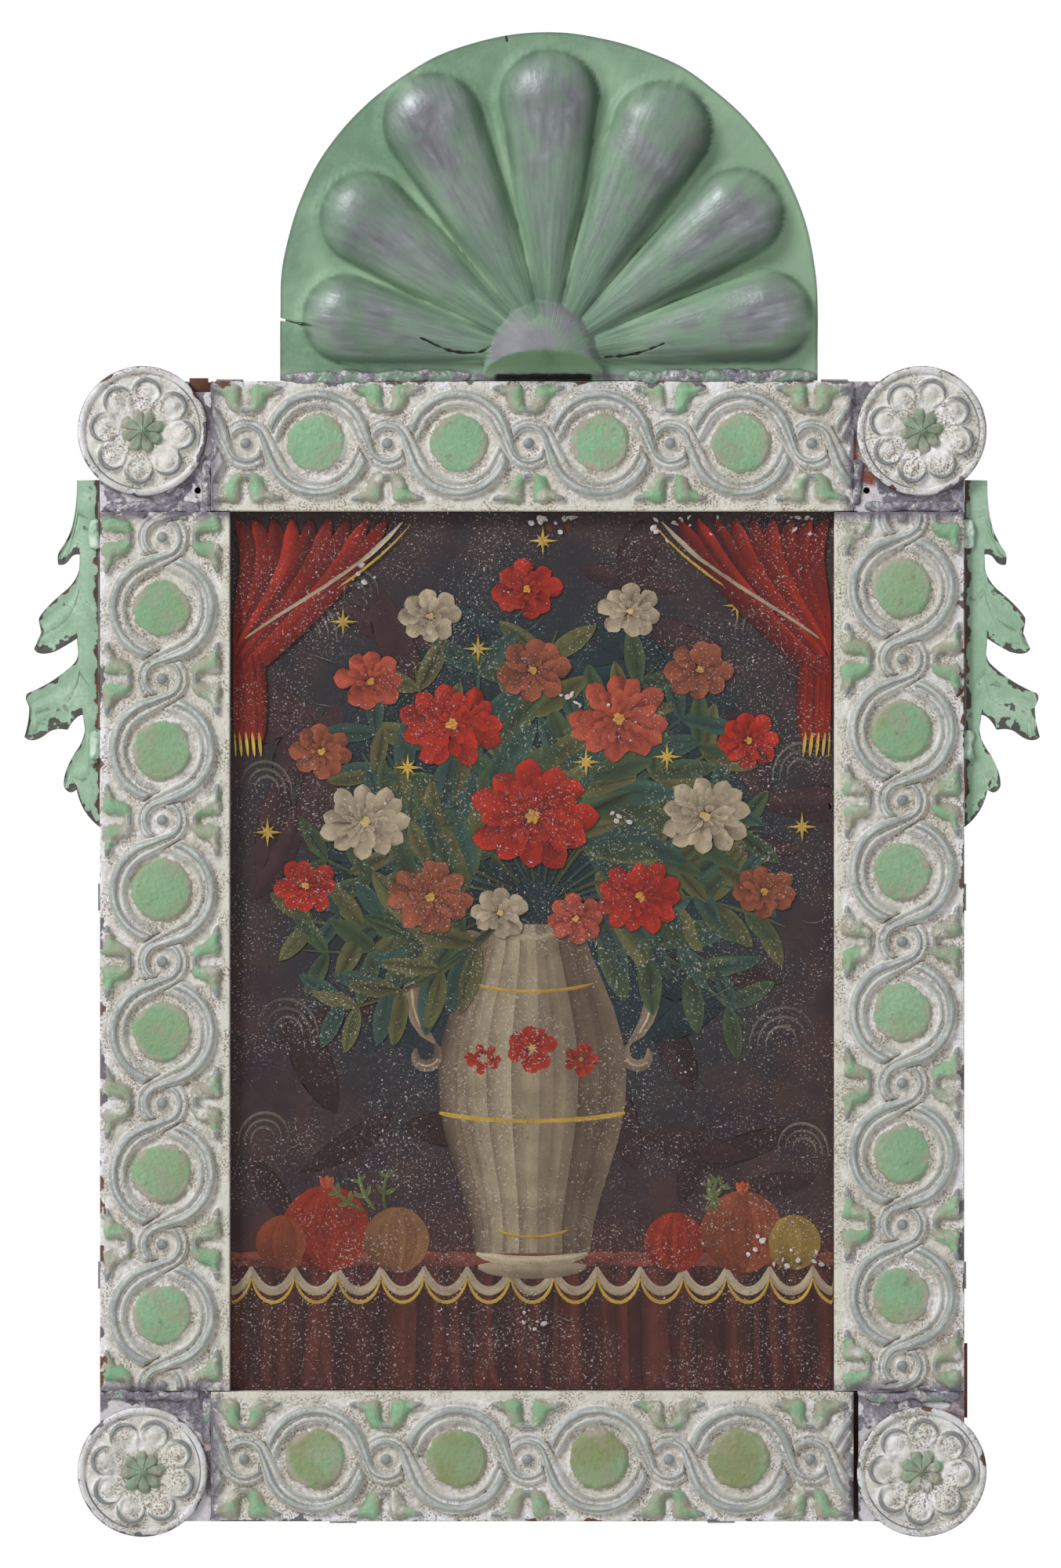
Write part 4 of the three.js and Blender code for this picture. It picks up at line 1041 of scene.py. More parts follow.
def drapes(brush):
    """A looped red cloth in each upper corner, with cream lining and a gold fringe."""
    for flip in (-1, 1):
        for k in range(9):
            brush.stroke(mirrored(flip, (110 - 7 * k, 160), (98 - 4 * k, 146 - k),
                                  (108, 130 - 3.5 * k), (110.5, 112 - 1.5 * k)),
                         8.5, "#3f100f", "#9f2d20" if k % 2 else "#741f19", blunt=0.35,
                         side=0.9 * flip)
        for k in range(5):
            x = 111 - 2.4 * k
            brush.stroke(mirrored(flip, (x, 112), (109 - 2.2 * k, 96), (110 - 2.5 * k, 78)), 4.6,
                         "#3f100f", "#8f271b", blunt=0.4, side=0.8 * flip)
            brush.stroke(mirrored(flip, (x, 82), (110 - 2.4 * k, 72)), 1.3, "#8a6a2a", "#d6b552")
        brush.stroke(mirrored(flip, (48, 159), (66, 138), (92, 128), (110, 113)), 2.6, "#7d6b58",
                     "#c9bb9f", blunt=0.4, tip=-0.2)
        brush.stroke(mirrored(flip, (45, 158), (64, 135), (92, 125), (110, 110)), 1.2, "#8a6a2a",
                     "#d6b552", blunt=0.4)


def worn_places(brush):
    """Paint lost round the two nail holes and in a few knocks, and fine scratches."""
    noise = brush.random
    knocks = (
        (4, 159, 2.6, 18), (12, 158.6, 2.8, 18), (57, 159, 7, 12), (98, 158, 7, 12),
        (94, -112, 9, 14), (-62, 140, 3, 4), (18, 92, 4, 6), (2, -138, 4, 5), (30, 48, 3, 4))
    for x, y, spread, count in knocks:
        for _ in range(count):
            px, py = x + noise.normal(0, spread), min(y + noise.normal(0, spread * 0.6), 161)
            a, r = noise.uniform(0, 3.14), noise.uniform(0.4, 1.5)
            if min(np.hypot(px - hx, py - hy) for hx, hy in NAIL_HOLES) < NAIL_HOLE_R + r:
                continue
            brush.stroke([reached(px, py, -r, a), (px + noise.normal(0, 0.5), py),
                          reached(px, py, r, a)], noise.uniform(0.8, 2.2), "#a39795", "#dcd5d3",
                         thick=0.01)
    for _ in range(26):
        x, y = noise.uniform(-104, 104), noise.uniform(-150, 150)
        a, r = noise.normal(0, 0.5), noise.uniform(3, 12)
        middle = (x + r * np.cos(a) / 2, y + noise.normal(0, 2))
        brush.stroke([(x, y), middle, reached(x, y, r, a)], 0.3, "#5d5654", "#8f8684", thick=0.01)


# Materials.


def add(owner, kind, links=None, **settings):
    """Adds a shader node with its settings to a material or world; links gives each input, by
    name or number, a socket to follow or a plain value."""
    node = owner.node_tree.nodes.new(kind)
    for key, value in settings.items():
        setattr(node, key, value)
    for key, value in (links or {}).items():
        socket = node.inputs[key]
        if isinstance(value, bpy.types.NodeSocket):
            owner.node_tree.links.new(value, socket)
        elif socket.type == "RGBA":
            socket.default_value = (*(linear(value) if isinstance(value, str) else value), 1)
        else:
            socket.default_value = value
    return node


class Finish:
    """A procedural material on its way: masks out of noises and point attributes, and coats of
    colour laid through them. Patterns follow the object's own coordinates, sizes in millimetres."""

    def __init__(self, name):
        self.material = bpy.data.materials.new(name)
        self.material.use_nodes = True
        self.material.node_tree.nodes.clear()
        self.where = self.add("ShaderNodeTexCoord").outputs["Object"]

    def add(self, kind, links=None, **settings):
        """A shader node of this material."""
        return add(self.material, kind, links, **settings)

    def patches(self, size, low, high, detail=3.0, distortion=0.0, where=None):
        """Cloudy patches of a size: 0 where their noise is under low, 1 where it is over high."""
        noise = self.add("ShaderNodeTexNoise", {
            "Vector": where or self.where, "Scale": 1 / MM / size, "Detail": detail,
            "Distortion": distortion})
        return self.add("ShaderNodeMapRange", {
            "Value": noise.outputs["Fac"], "From Min": low, "From Max": high}).outputs[0]

    def ragged(self, field, edge, wander, noise, soft=0.15):
        """1 where a point attribute in millimetres is over an edge that wanders with a noise."""
        value = self.add("ShaderNodeAttribute", attribute_name=field).outputs["Fac"]
        sway = self.add("ShaderNodeMath", {0: noise, 1: wander, 2: value},
                        operation="MULTIPLY_ADD").outputs[0]
        edge += wander / 2
        return self.add("ShaderNodeMapRange", {
            "Value": sway, "From Min": edge - soft, "From Max": edge + soft}).outputs[0]

    def field(self, name, low=0.0, high=1.0, top=1.0):
        """A point attribute as a mask: 0 where it is at low, top where it is at high."""
        value = self.add("ShaderNodeAttribute", attribute_name=name).outputs["Fac"]
        return self.add("ShaderNodeMapRange", {
            "Value": value, "From Min": low, "From Max": high, "To Max": top}).outputs[0]

    def times(self, *masks):
        """The product of several masks; a plain number among them thins the whole."""
        product = masks[0]
        for mask in masks[1:]:
            product = self.add("ShaderNodeMath", {0: product, 1: mask},
                               operation="MULTIPLY").outputs[0]
        return product

    def coats(self, ground, *layers):
        """Colours laid over one another, each through its mask, as coats of paint are."""
        for colour, mask in layers:
            ground = self.add("ShaderNodeMix", {0: mask, 6: ground, 7: colour},
                              data_type="RGBA").outputs[2]
        return ground

    def surface(self, colour, roughness, metallic, *reliefs, gloss=0.2):
        """The shader and the output; each relief is a height pattern and its depth."""
        links = {"Base Color": colour, "Roughness": roughness, "Metallic": metallic,
                 "Specular IOR Level": gloss}
        for height, depth in reliefs:
            bump = {"Height": height, "Distance": depth * MM, "Strength": 1.0}
            if "Normal" in links:
                bump["Normal"] = links["Normal"]
            links["Normal"] = self.add("ShaderNodeBump", bump).outputs[0]
        shader = self.add("ShaderNodeBsdfPrincipled", links)
        self.add("ShaderNodeOutputMaterial", {"Surface": shader.outputs[0]})
        return self.material


def whitewashed_tin(colours):
    """Tinplate pressed with a repeating stamp, then brushed with white and green oil paint and
    rubbed by age: chalky white in the ground, grey metal on the ridges with painted shade along
    their grooves and flanks and a painted highlight on top, and beside them beige dirt mixed with
    painted shade, which also rings the green paint."""
    tin = Finish("whitewashed_pressed_tinplate")
    broad = tin.patches(30, 0.4, 0.6)
    middle = tin.patches(7, 0.36, 0.64, 4)
    fine = tin.patches(1.7, 0.34, 0.66, 5)
    grit = tin.patches(0.8, 0.46, 0.64, 2)
    thin = tin.patches(13, 0.46, 0.62, 5)
    ground = tin.coats(
        colours.white_paint,
        ("#e4e3e9", tin.times(middle, tin.patches(22, 0.4, 0.56, 4))),
        ("#aeaba6", tin.times(thin, fine, 0.9)),
        ("#cdc7b8", tin.times(fine, middle, 0.5)),
        ("#e0dfe8", tin.times(tin.field("edge", 4.5, 2.0, 0.9), middle)),
        ("#cbc9bc", tin.field("margin", 4.0, 2.4, 0.85)),
        # Painted shade with dirt: darker beige in the hollows beside the relief.
        ("#a69f92", tin.times(tin.field("hollow", 0.08, 0.6, 0.75), fine)),
        ("#867a69", tin.times(grit, tin.patches(9, 0.42, 0.56))))
    # Across a strand: a pale ridge; its grey groove and two dark flanks, which are painted shade;
    # and a painted highlight along the rubbed broad ridge.
    ridge = tin.coats(
        "#979b9b", ("#878b90", broad), ("#8e988b", middle), ("#b3b4b1", tin.times(fine, thin)),
        ("#d0cec8", tin.times(tin.field("across", -0.42, -0.3), tin.field("across", 0.02, -0.14),
                              tin.patches(5, 0.3, 0.5))),
        ("#6f7276", tin.times(tin.field("across", -0.14, -0.02), tin.field("across", 0.16, 0.05),
                              0.7)),
        ("#747879", tin.times(tin.field("across", 0.84, 0.98), 0.7)),
        ("#747879", tin.times(tin.field("across", -0.86, -0.98), 0.7)),
        ("#c4c6c4", tin.times(tin.field("across", 0.26, 0.4), tin.field("across", 0.6, 0.45),
                              tin.patches(8, 0.42, 0.6), 0.75)))
    worn = tin.field("rubbed", 0.45, 0.85, 0.94)
    soil = tin.times(tin.field("soil"), tin.patches(4.5, 0.42, 0.6, 4))
    green = tin.coats(
        colours.disc_green, ("#7a9f7c", middle), ("#94b394", tin.times(fine, broad)),
        ("#858a64", tin.times(tin.patches(15, 0.5, 0.66, 4), fine, 0.8)),
        ("#6f6a55", tin.times(tin.patches(4, 0.6, 0.68, 5), middle, 0.7)),
        ("#7f8259", tin.times(tin.field("aged"), tin.field("leaf", 1, 0),
                              tin.patches(24, 0.3, 0.6, 4))),
        ("#a2978c", tin.times(tin.field("paint", 2.9, 1.2), tin.patches(7, 0.46, 0.58, 6), 0.8)),
        ("#978f80", tin.times(tin.patches(11, 0.53, 0.6, 7), fine, 0.75)),
        ("#6c6d59", tin.times(soil, 0.9)), ("#8c9488", tin.field("soil", 0, 1, 0.5)))
    faded = tin.times(tin.field("leaf"), tin.patches(15, 0.5, 0.62))
    painted = tin.ragged("paint", 0.1, 0.6, fine, 0.12)
    held = tin.add("ShaderNodeMath", {0: painted, 1: faded}, operation="SUBTRACT",
                   use_clamp=True).outputs[0]
    # Painted shade mixed with dirt: a dark grey-brown band round the green paint of the discs and
    # small leaves, standing in for the shade at their edges.
    around = tin.times(tin.ragged("paint", -0.5, 0.8, fine, 0.3), tin.patches(6, 0.38, 0.56))
    whole = tin.ragged("edge", 0.2, 5.4, tin.patches(8, 0.3, 0.6, 6), 0.12)
    chipped = tin.add("ShaderNodeMath", {0: 1.0, 1: whole}, operation="SUBTRACT",
                      use_clamp=True).outputs[0]
    stained = tin.times(tin.field("end", 5.0, 0.8), tin.patches(4, 0.36, 0.5))
    colour = tin.coats(
        ground, (ridge, worn), ("#85816f", tin.times(around, 0.75)), (green, held),
        ("#69656a", chipped), (colours.rust, tin.times(chipped, tin.patches(21, 0.5, 0.58, 4))),
        ("#716c76", stained))
    roughness = tin.add("ShaderNodeMapRange", {
        "Value": worn, "To Min": 0.7, "To Max": 0.5}).outputs[0]
    return tin.surface(colour, roughness, tin.times(worn, 0.25), (grit, 0.08), (fine, 0.1),
                       (painted, 0.12), (whole, 0.12))


def unpainted_back(sheet, colour):
    """The colour of a painted sheet with its back left bare: grey tin browned in patches by
    rust."""
    behind = sheet.field("behind", 0.4, 0.6)
    rusty = sheet.patches(26, 0.44, 0.58, 6)
    return sheet.coats(
        colour, ("#74716e", behind), ("#54443d", sheet.times(behind, rusty)),
        ("#67483b", sheet.times(behind, rusty, sheet.patches(6, 0.4, 0.6, 5))))


def crest_paint(colours):
    """Green oil paint brushed outward over embossed tinplate, so its hair streaks fan out; rubbed
    to grey metal on the high places, and dark with dirt and painted shade beside the lobes and with
    dirt in the seams. Painted shade darkens the lobes' lower right flanks, a painted black shadow
    lies under the dome's edge, and the right side is painted lighter as painted light."""
    oil = Finish("rubbed_green_oil_paint")
    rays = oil.add("ShaderNodeAttribute", attribute_name="grain").outputs["Vector"]
    broad = oil.patches(34, 0.38, 0.62, 4, 0.6)
    middle = oil.patches(9, 0.35, 0.65, 4, 0.4)
    fine = oil.patches(1.5, 0.3, 0.7, 6)
    # The furrows of a brush are about 0.3 mm wide; they are drawn coarser, so that they show.
    hairs = oil.patches(1.9, 0.36, 0.64, 4, where=rays)
    swathes = oil.patches(7, 0.4, 0.6, 4, where=rays)
    on_lobes = oil.field("crown", 0, 0.1, 0.8)
    high = oil.field("crown", 0.6, 1.0)
    shaded_flank = oil.times(oil.field("crown", 0.04, 0.26), oil.field("crown", 0.8, 0.4))
    bare = oil.times(oil.field("crown", 0.45, 0.95), oil.patches(22, 0.36, 0.54, 4, 1.0))
    # Painted light: the crest is painted lighter towards its right side, as if more light fell
    # there.
    right = oil.add("ShaderNodeSeparateXYZ", {0: oil.where}).outputs[0]
    painted_light_right = oil.add("ShaderNodeMapRange", {
        "Value": right, "From Min": 0.03, "From Max": 0.1}).outputs[0]
    dome = oil.times(oil.field("dome"), oil.patches(18, 0.36, 0.52, 4, 0.8))
    colour = oil.coats(
        colours.crest_green, ("#64806b", broad), ("#8aa58b", oil.patches(48, 0.52, 0.64, 4)),
        ("#8ba78c", oil.times(painted_light_right, 0.75)),
        ("#86a588", oil.times(hairs, swathes, on_lobes)),
        ("#7f9d81", oil.times(middle, fine, 0.6)),
        ("#566b5d", oil.times(oil.patches(2.6, 0.5, 0.7, 3, where=rays), middle,
                              oil.field("crown", 0, 0.1, 0.75))),
        # The lobes: dirt and painted shade on their flanks, painted shade on their lower right
        # flanks, then bare metal on their crowns.
        ("#4f6254", oil.times(shaded_flank, oil.patches(5, 0.3, 0.6, 3, where=rays), 0.8)),
        ("#435248", oil.times(oil.field("shaded_flank"), oil.patches(6, 0.3, 0.55, 4, where=rays), 0.85)),
        ("#5f6e64", oil.times(high, 0.65)), ("#6f7075", oil.times(bare, 0.85)),
        ("#5f5c63", oil.times(bare, oil.patches(4, 0.46, 0.6, 4, where=rays), 0.7)),
        ("#9a9ea4", oil.times(bare, hairs, middle, 0.7)),
        # The ridges between them, the dome, the outline and the soldered foot.
        ("#93ad92", oil.field("valley", 0.1, 1.0, 0.6)),
        ("#838389", oil.times(dome, 0.9)), ("#6f6d75", oil.times(dome, middle, 0.6)),
        ("#6b8a69", oil.field("under_face", 0, 1, 0.92)),
        ("#59665c", oil.field("rim", 1.3, 0.1, 0.75)),
        ("#8a9c8a", oil.times(oil.field("foot", 5.5, 3.0, 0.8), middle)),
        ("#6c6870", oil.times(oil.field("foot", 3.6, 2.0), oil.patches(5, 0.4, 0.55))),
        # Painted shadow under the dome's edge, then the dark cracks.
        ("#171918", oil.field("shadow_under_dome", 0.2, 0.8)), ("#1b1e1c", oil.field("crack", 0.55, 0.3)))
    roughness = oil.add("ShaderNodeMapRange", {
        "Value": bare, "To Min": 0.5, "To Max": 0.4}).outputs[0]
    return oil.surface(unpainted_back(oil, colour), roughness, oil.times(bare, 0.35),
                       (fine, 0.05), (hairs, 0.08), gloss=0.25)


def leaf_paint(colours):
    """Green oil paint on cut sheet, chipped to dark metal along the edges and veins, rusty along
    the frame, and whitish on the solder tacks."""
    oil = Finish("chipped_green_oil_paint")
    along = oil.add("ShaderNodeAttribute", attribute_name="grain").outputs["Vector"]
    broad = oil.patches(16, 0.35, 0.65)
    middle = oil.patches(5, 0.35, 0.65)
    fine = oil.patches(1.2, 0.3, 0.7, 5)
    whole = oil.ragged("rim", 0.8, 2.9, oil.patches(3.6, 0.34, 0.7, 6), 0.1)
    chipped = oil.add("ShaderNodeMath", {0: 1.0, 1: whole}, operation="SUBTRACT",
                      use_clamp=True).outputs[0]
    ribbed = oil.ragged("vein", 0.3, 1.0, middle, 0.2)
    rib = oil.add("ShaderNodeMath", {0: 0.7, 1: ribbed}, operation="SUBTRACT",
                  use_clamp=True).outputs[0]
    lost = oil.times(oil.patches(5, 0.64, 0.66, 6), oil.patches(21, 0.46, 0.56))
    kept = oil.ragged("root", 1.6, 2.4, middle, 0.2)
    inner = oil.add("ShaderNodeMath", {0: 1.0, 1: kept}, operation="SUBTRACT",
                    use_clamp=True).outputs[0]
    hatch = oil.times(oil.field("tip", 0.62, 0.9), oil.patches(1.6, 0.54, 0.6, 5, where=along),
                      oil.patches(9, 0.44, 0.5, 4))
    colour = oil.coats(
        colours.leaf_green, ("#87a78d", broad), ("#b0c6b2", oil.times(middle, fine, 0.5)),
        ("#7f9a83", oil.times(oil.patches(2.2, 0.48, 0.66, 3, where=along), 0.3)),
        ("#c3d3c6", oil.times(oil.patches(11, 0.56, 0.66, 5), fine, 0.35)),
        ("#6b7c6d", rib), ("#4c4946", chipped), ("#54524d", oil.times(hatch, 0.9)),
        ("#5b5a54", lost), ("#4a3d37", inner),
        (colours.rust, oil.times(inner, oil.patches(13, 0.5, 0.6, 5))),
        ("#c9d6ca", oil.times(oil.field("tack"), oil.patches(4, 0.42, 0.6, 5), 0.75)))
    return oil.surface(unpainted_back(oil, colour), 0.5, 0.0, (fine, 0.06), (whole, 0.15))


def lead_solder(colours, name, bare):
    """Tin-lead solder run on with an iron: dull violet-grey, lumpy, with green and white paint
    left on it where a noise is over bare."""
    solder = Finish(name)
    broad = solder.patches(9, 0.38, 0.6)
    middle = solder.patches(2.8, 0.35, 0.65, 4)
    fine = solder.patches(0.8, 0.3, 0.7, 3)
    colour = solder.coats(
        colours.solder, ("#5a5761", broad), ("#98959e", solder.times(middle, fine)),
        ("#b9b8b4", solder.times(solder.patches(5, 0.5, 0.58, 5), fine)),
        ("#7c8c80", solder.patches(7, bare, bare + 0.05, 6)))
    return solder.surface(colour, 0.52, 0.45, (middle, 0.35), (fine, 0.1))


def stained_tin():
    """Plain tinplate darkened by soldering, with scraps of white paint and rust at the edges."""
    tin = Finish("solder_stained_tinplate")
    broad = tin.patches(14, 0.38, 0.6, 4)
    middle = tin.patches(4, 0.35, 0.65, 5)
    fine = tin.patches(1.0, 0.3, 0.7, 4)
    colour = tin.coats(
        "#6d6972", ("#524e57", broad), ("#86828b", tin.times(middle, fine)),
        ("#c4c0c4", tin.patches(7, 0.525, 0.565, 7)),
        ("#a9a5ad", tin.times(tin.patches(5, 0.5, 0.62, 6), fine)),
        ("#7a4434", tin.times(tin.patches(19, 0.55, 0.62, 5), middle)))
    return tin.surface(colour, 0.6, 0.3, (middle, 0.15), (fine, 0.08))


def rusted_tin(colours):
    """Old tinplate whose tin has gone: red-brown rust with grey islands of metal."""
    tin = Finish("rusted_tinplate")
    broad = tin.patches(30, 0.4, 0.6, 5)
    middle = tin.patches(6, 0.38, 0.62, 6)
    fine = tin.patches(1.1, 0.3, 0.7, 5)
    colour = tin.coats(
        colours.rust, ("#6f4b3e", middle), ("#46312b", tin.times(broad, fine)),
        ("#6b6663", tin.times(tin.patches(55, 0.5, 0.62, 6), middle)),
        ("#7b7774", tin.times(tin.patches(13, 0.56, 0.66, 6), fine)))
    return tin.surface(colour, 0.78, 0.15, (middle, 0.12), (fine, 0.08))


def bare_tin():
    """Dull hand-cut tinplate: grey with faint spangle, and brown freckles of rust."""
    tin = Finish("dulled_tinplate")
    spangle_size = 4
    spangle = tin.add("ShaderNodeTexVoronoi", {
        "Vector": tin.where, "Scale": 1 / MM / spangle_size}).outputs["Color"]
    middle = tin.patches(5, 0.38, 0.62, 4)
    fine = tin.patches(0.9, 0.3, 0.7, 4)
    colour = tin.coats("#8d8e90", ("#76777b", middle), (spangle, 0.08),
                       ("#75513f", tin.times(tin.patches(8, 0.58, 0.64, 6), fine)))
    return tin.surface(colour, 0.45, 0.8, (fine, 0.04))


def iron_wire():
    """Drawn iron wire, darkened and freckled with rust."""
    wire = Finish("drawn_iron_wire")
    middle = wire.patches(3, 0.4, 0.6, 5)
    fine = wire.patches(0.6, 0.3, 0.7, 3)
    colour = wire.coats("#5b5754", ("#6d4a3a", wire.times(middle, fine)), ("#3c3937", fine))
    return wire.surface(colour, 0.5, 0.7, (fine, 0.05))


def flaked(oil, colour):
    """A painted ground where the paint has flaked: pale specks, thick in some places and few in
    others, finer ones between them, and fine dark pores."""
    crowd = oil.patches(40, 0.35, 0.65, 2)
    speck_size = 1.1
    near = oil.add("ShaderNodeTexNoise", {
        "Vector": oil.where, "Scale": 1 / MM / speck_size, "Detail": 3.0,
        "Roughness": 0.62}).outputs["Fac"]
    limit = oil.add("ShaderNodeMapRange", {
        "Value": crowd, "To Min": 0.73, "To Max": 0.64}).outputs[0]
    over = oil.add("ShaderNodeMath", {0: near, 1: limit}, operation="SUBTRACT").outputs[0]
    speck = oil.add("ShaderNodeMapRange", {
        "Value": over, "From Min": 0.0, "From Max": 0.012}).outputs[0]
    pin = oil.times(oil.patches(0.8, 0.62, 0.66, 2), oil.patches(26, 0.42, 0.55, 2))
    pore = oil.patches(1.1, 0.64, 0.7, 2)
    dust = oil.times(oil.patches(0.9, 0.56, 0.72, 3), crowd, 0.22)
    return oil.coats(colour, ("#1a1517", oil.times(pore, 0.6)), ("#8b8180", dust),
                     ("#a9a09e", oil.times(pin, 0.7)), ("#c1b9b7", oil.times(speck, 0.9))), speck


def painted_sheet():
    """Oil paint on tinplate, dark with age: brown-violet at the edges, dark blue-green in the
    middle and red-brown below, all clouded and flaking."""
    oil = Finish("aged_oil_paint_on_tinplate")
    broad = oil.patches(45, 0.35, 0.65, 4, 0.5)
    middle = oil.patches(12, 0.35, 0.65, 4)
    # The blue-green is an ellipse round a point 37 mm above the picture's middle, reaching 120 mm
    # to the sides and 135 mm up and down; the red-brown comes in 93 to 123 mm below the middle.
    centre = oil.add("ShaderNodeMapping", {
        "Vector": oil.where, "Location": (0, 0, 1.15), "Scale": (8.3, 1, 7.4)})
    ball = oil.add("ShaderNodeTexGradient", {"Vector": centre.outputs[0]},
                   gradient_type="SPHERICAL").outputs["Fac"]
    glow = oil.add("ShaderNodeMapRange", {
        "Value": ball, "From Min": 0.0, "From Max": 0.45}).outputs[0]
    height = oil.add("ShaderNodeSeparateXYZ", {0: oil.where}).outputs[2]
    low = oil.add("ShaderNodeMapRange", {
        "Value": height, "From Min": -0.285, "From Max": -0.315}).outputs[0]
    colour = oil.coats("#32262a", ("#2a2229", broad), ("#3d2d2b", middle),
                       ("#1c2a2f", oil.times(glow, 0.9)), ("#432622", oil.times(low, 0.9)))
    colour, speck = flaked(oil, colour)
    return oil.surface(colour, 0.5, 0.0, (middle, 0.05), (speck, 0.08))


def brushed_paint():
    """Oil paint laid on with a hog-hair brush: the colour of each stroke, its hairs' furrows and
    the same flaking as the ground."""
    oil = Finish("brushed_oil_paint")
    stroke = oil.add("ShaderNodeAttribute", attribute_name="paint_colour").outputs["Color"]
    middle = oil.patches(10, 0.35, 0.65, 4)
    # The furrows of the hairs, about 0.3 mm wide, are drawn coarser here too.
    fine = oil.patches(1.0, 0.3, 0.7, 4)
    colour = oil.coats(stroke, ("#1d1516", oil.times(middle, 0.3)),
                       ("#43332f", oil.times(fine, 0.1)))
    colour, speck = flaked(oil, colour)
    return oil.surface(colour, 0.5, 0.0, (fine, 0.05), (speck, 0.08))


def pale_ground():
    """Plain studio floor: matt white that keeps the object's shadow near by and turns into the
    white of the background further off."""
    floor = Finish("pale_studio_floor")
    ray = floor.add("ShaderNodeLightPath").outputs
    seen = floor.add("ShaderNodeMath", {0: ray["Is Camera Ray"], 1: ray["Is Glossy Ray"]},
                     operation="ADD", use_clamp=True).outputs[0]
    away = floor.add("ShaderNodeVectorMath", {0: floor.where}, operation="LENGTH").outputs["Value"]
    share = floor.add("ShaderNodeMapRange", {
        "Value": away, "From Min": 0.5, "From Max": 1.4, "To Min": 0.9}).outputs[0]
    matt = floor.add("ShaderNodeBsdfDiffuse", {"Color": "#f2f2f0"}).outputs[0]
    white = floor.add("ShaderNodeEmission", {"Color": "#ffffff", "Strength": 1.0}).outputs[0]
    both = floor.add("ShaderNodeMixShader", {
        0: floor.times(seen, share), 1: matt, 2: white}).outputs[0]
    floor.add("ShaderNodeOutputMaterial", {"Surface": both})
    return floor.material


# Settings, operators and panel.

# The stage, in metres: the floor, the height that the lamps aim at, and what the photograph
# takes in at the frame's front.
FLOOR_LEVEL = -0.47
FLOOR_HALF = 9.0
LAMP_AIM = -0.13
PHOTO_HEIGHT = 0.58
PHOTO_MIDDLE = (-0.0006, -0.1301)
PHOTO_FRONT = -0.01


def look_along(direction):
    """Euler angles that turn a lamp or camera to look along a direction, upright."""
    return Vector(direction).to_track_quat("-Z", "Y").to_euler()


def show_finish(node, material):
    """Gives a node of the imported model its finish."""
    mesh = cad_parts[node].data
    mesh.materials.clear()
    mesh.materials.append(material)


def studio_white(strength):
    """An even light of the given strength, which the camera and reflections see as white."""
    world = bpy.data.worlds.new("studio_white")
    world.use_nodes = True
    world.node_tree.nodes.clear()
    ray = add(world, "ShaderNodeLightPath").outputs
    seen = ray["Is Camera Ray"]
    for kind in ("Is Glossy Ray", "Is Transmission Ray"):
        seen = add(world, "ShaderNodeMath", {0: seen, 1: ray[kind]}, operation="ADD",
                   use_clamp=True).outputs[0]
    light, white = (
        add(world, "ShaderNodeBackground", {"Color": "#ffffff", "Strength": value}).outputs[0]
        for value in (strength, 1.0))
    both = add(world, "ShaderNodeMixShader", {0: seen, 1: light, 2: white}).outputs[0]
    add(world, "ShaderNodeOutputWorld", {"Surface": both})
    return world


def strip_phase(side, default):
    """Where a small ring of the pattern falls on one strip."""
    return FloatProperty(name=side + " phase", default=default, unit="LENGTH", precision=4,
                         description="Where a small ring falls on the strip")


class RetabloSizes(bpy.types.PropertyGroup):
    """Sizes that a user would change."""

    phase_top: strip_phase("Top", -0.0013)
    phase_bottom: strip_phase("Bottom", 0.0018)
    phase_left: strip_phase("Left", -0.00375)
    phase_right: strip_phase("Right", -0.00355)
    solder_spread: FloatProperty(
        name="Solder spread", description="How far solder runs past its bead", default=0.001,
        min=0.0, max=0.003, unit="LENGTH", precision=4)


def paint_colour(label, description, hex_colour):
    """A colour that a user can pick, with its default."""
    return FloatVectorProperty(name=label, description=description, default=linear(hex_colour),
                               size=3, min=0.0, max=1.0, subtype="COLOR")


class RetabloColours(bpy.types.PropertyGroup):
    """Main colours of the finishes; their patches and dirt are laid over these."""

    white_paint: paint_colour("White paint", "White oil paint on the border's ground", "#cbcac3")
    disc_green: paint_colour("Disc green", "Green oil paint on discs and small leaves", "#7ca282")
    crest_green: paint_colour("Crest green", "Green oil paint on the crest", "#708a75")
    leaf_green: paint_colour("Leaf green", "Green oil paint on the two cut leaves", "#93af98")
    solder: paint_colour("Solder", "Dull tin-lead solder", "#77737c")
    rust: paint_colour("Rust", "Rust on the back plate and at chipped edges", "#674338")


class RetabloStage(bpy.types.PropertyGroup):
    """Light and camera settings that a user would change."""

    lamp_power: FloatProperty(
        name="Key light", description="Power of the key light", default=170.0, min=0.0,
        unit="POWER")
    fill_share: FloatProperty(
        name="Fill", description="Power of the fill light as a share of the key light",
        default=0.16, min=0.0, max=1.0, subtype="FACTOR")
    world_light: FloatProperty(
        name="Sky light", description="Strength of the even light from all round", default=0.18,
        min=0.0, max=1.0)
    camera_distance: FloatProperty(
        name="Camera distance", description="From the camera to the frame", default=3.2, min=1.0,
        unit="LENGTH")


class RETABLO_OT_picture(bpy.types.Operator):
    """Finish the painted sheet and lay the still life on it"""

    bl_idname = "retablo.picture"
    bl_label = "Painted sheet"

    def execute(self, context):
        show_finish("painted_panel", painted_sheet())
        paint_still_life(brushed_paint())
        return {"FINISHED"}


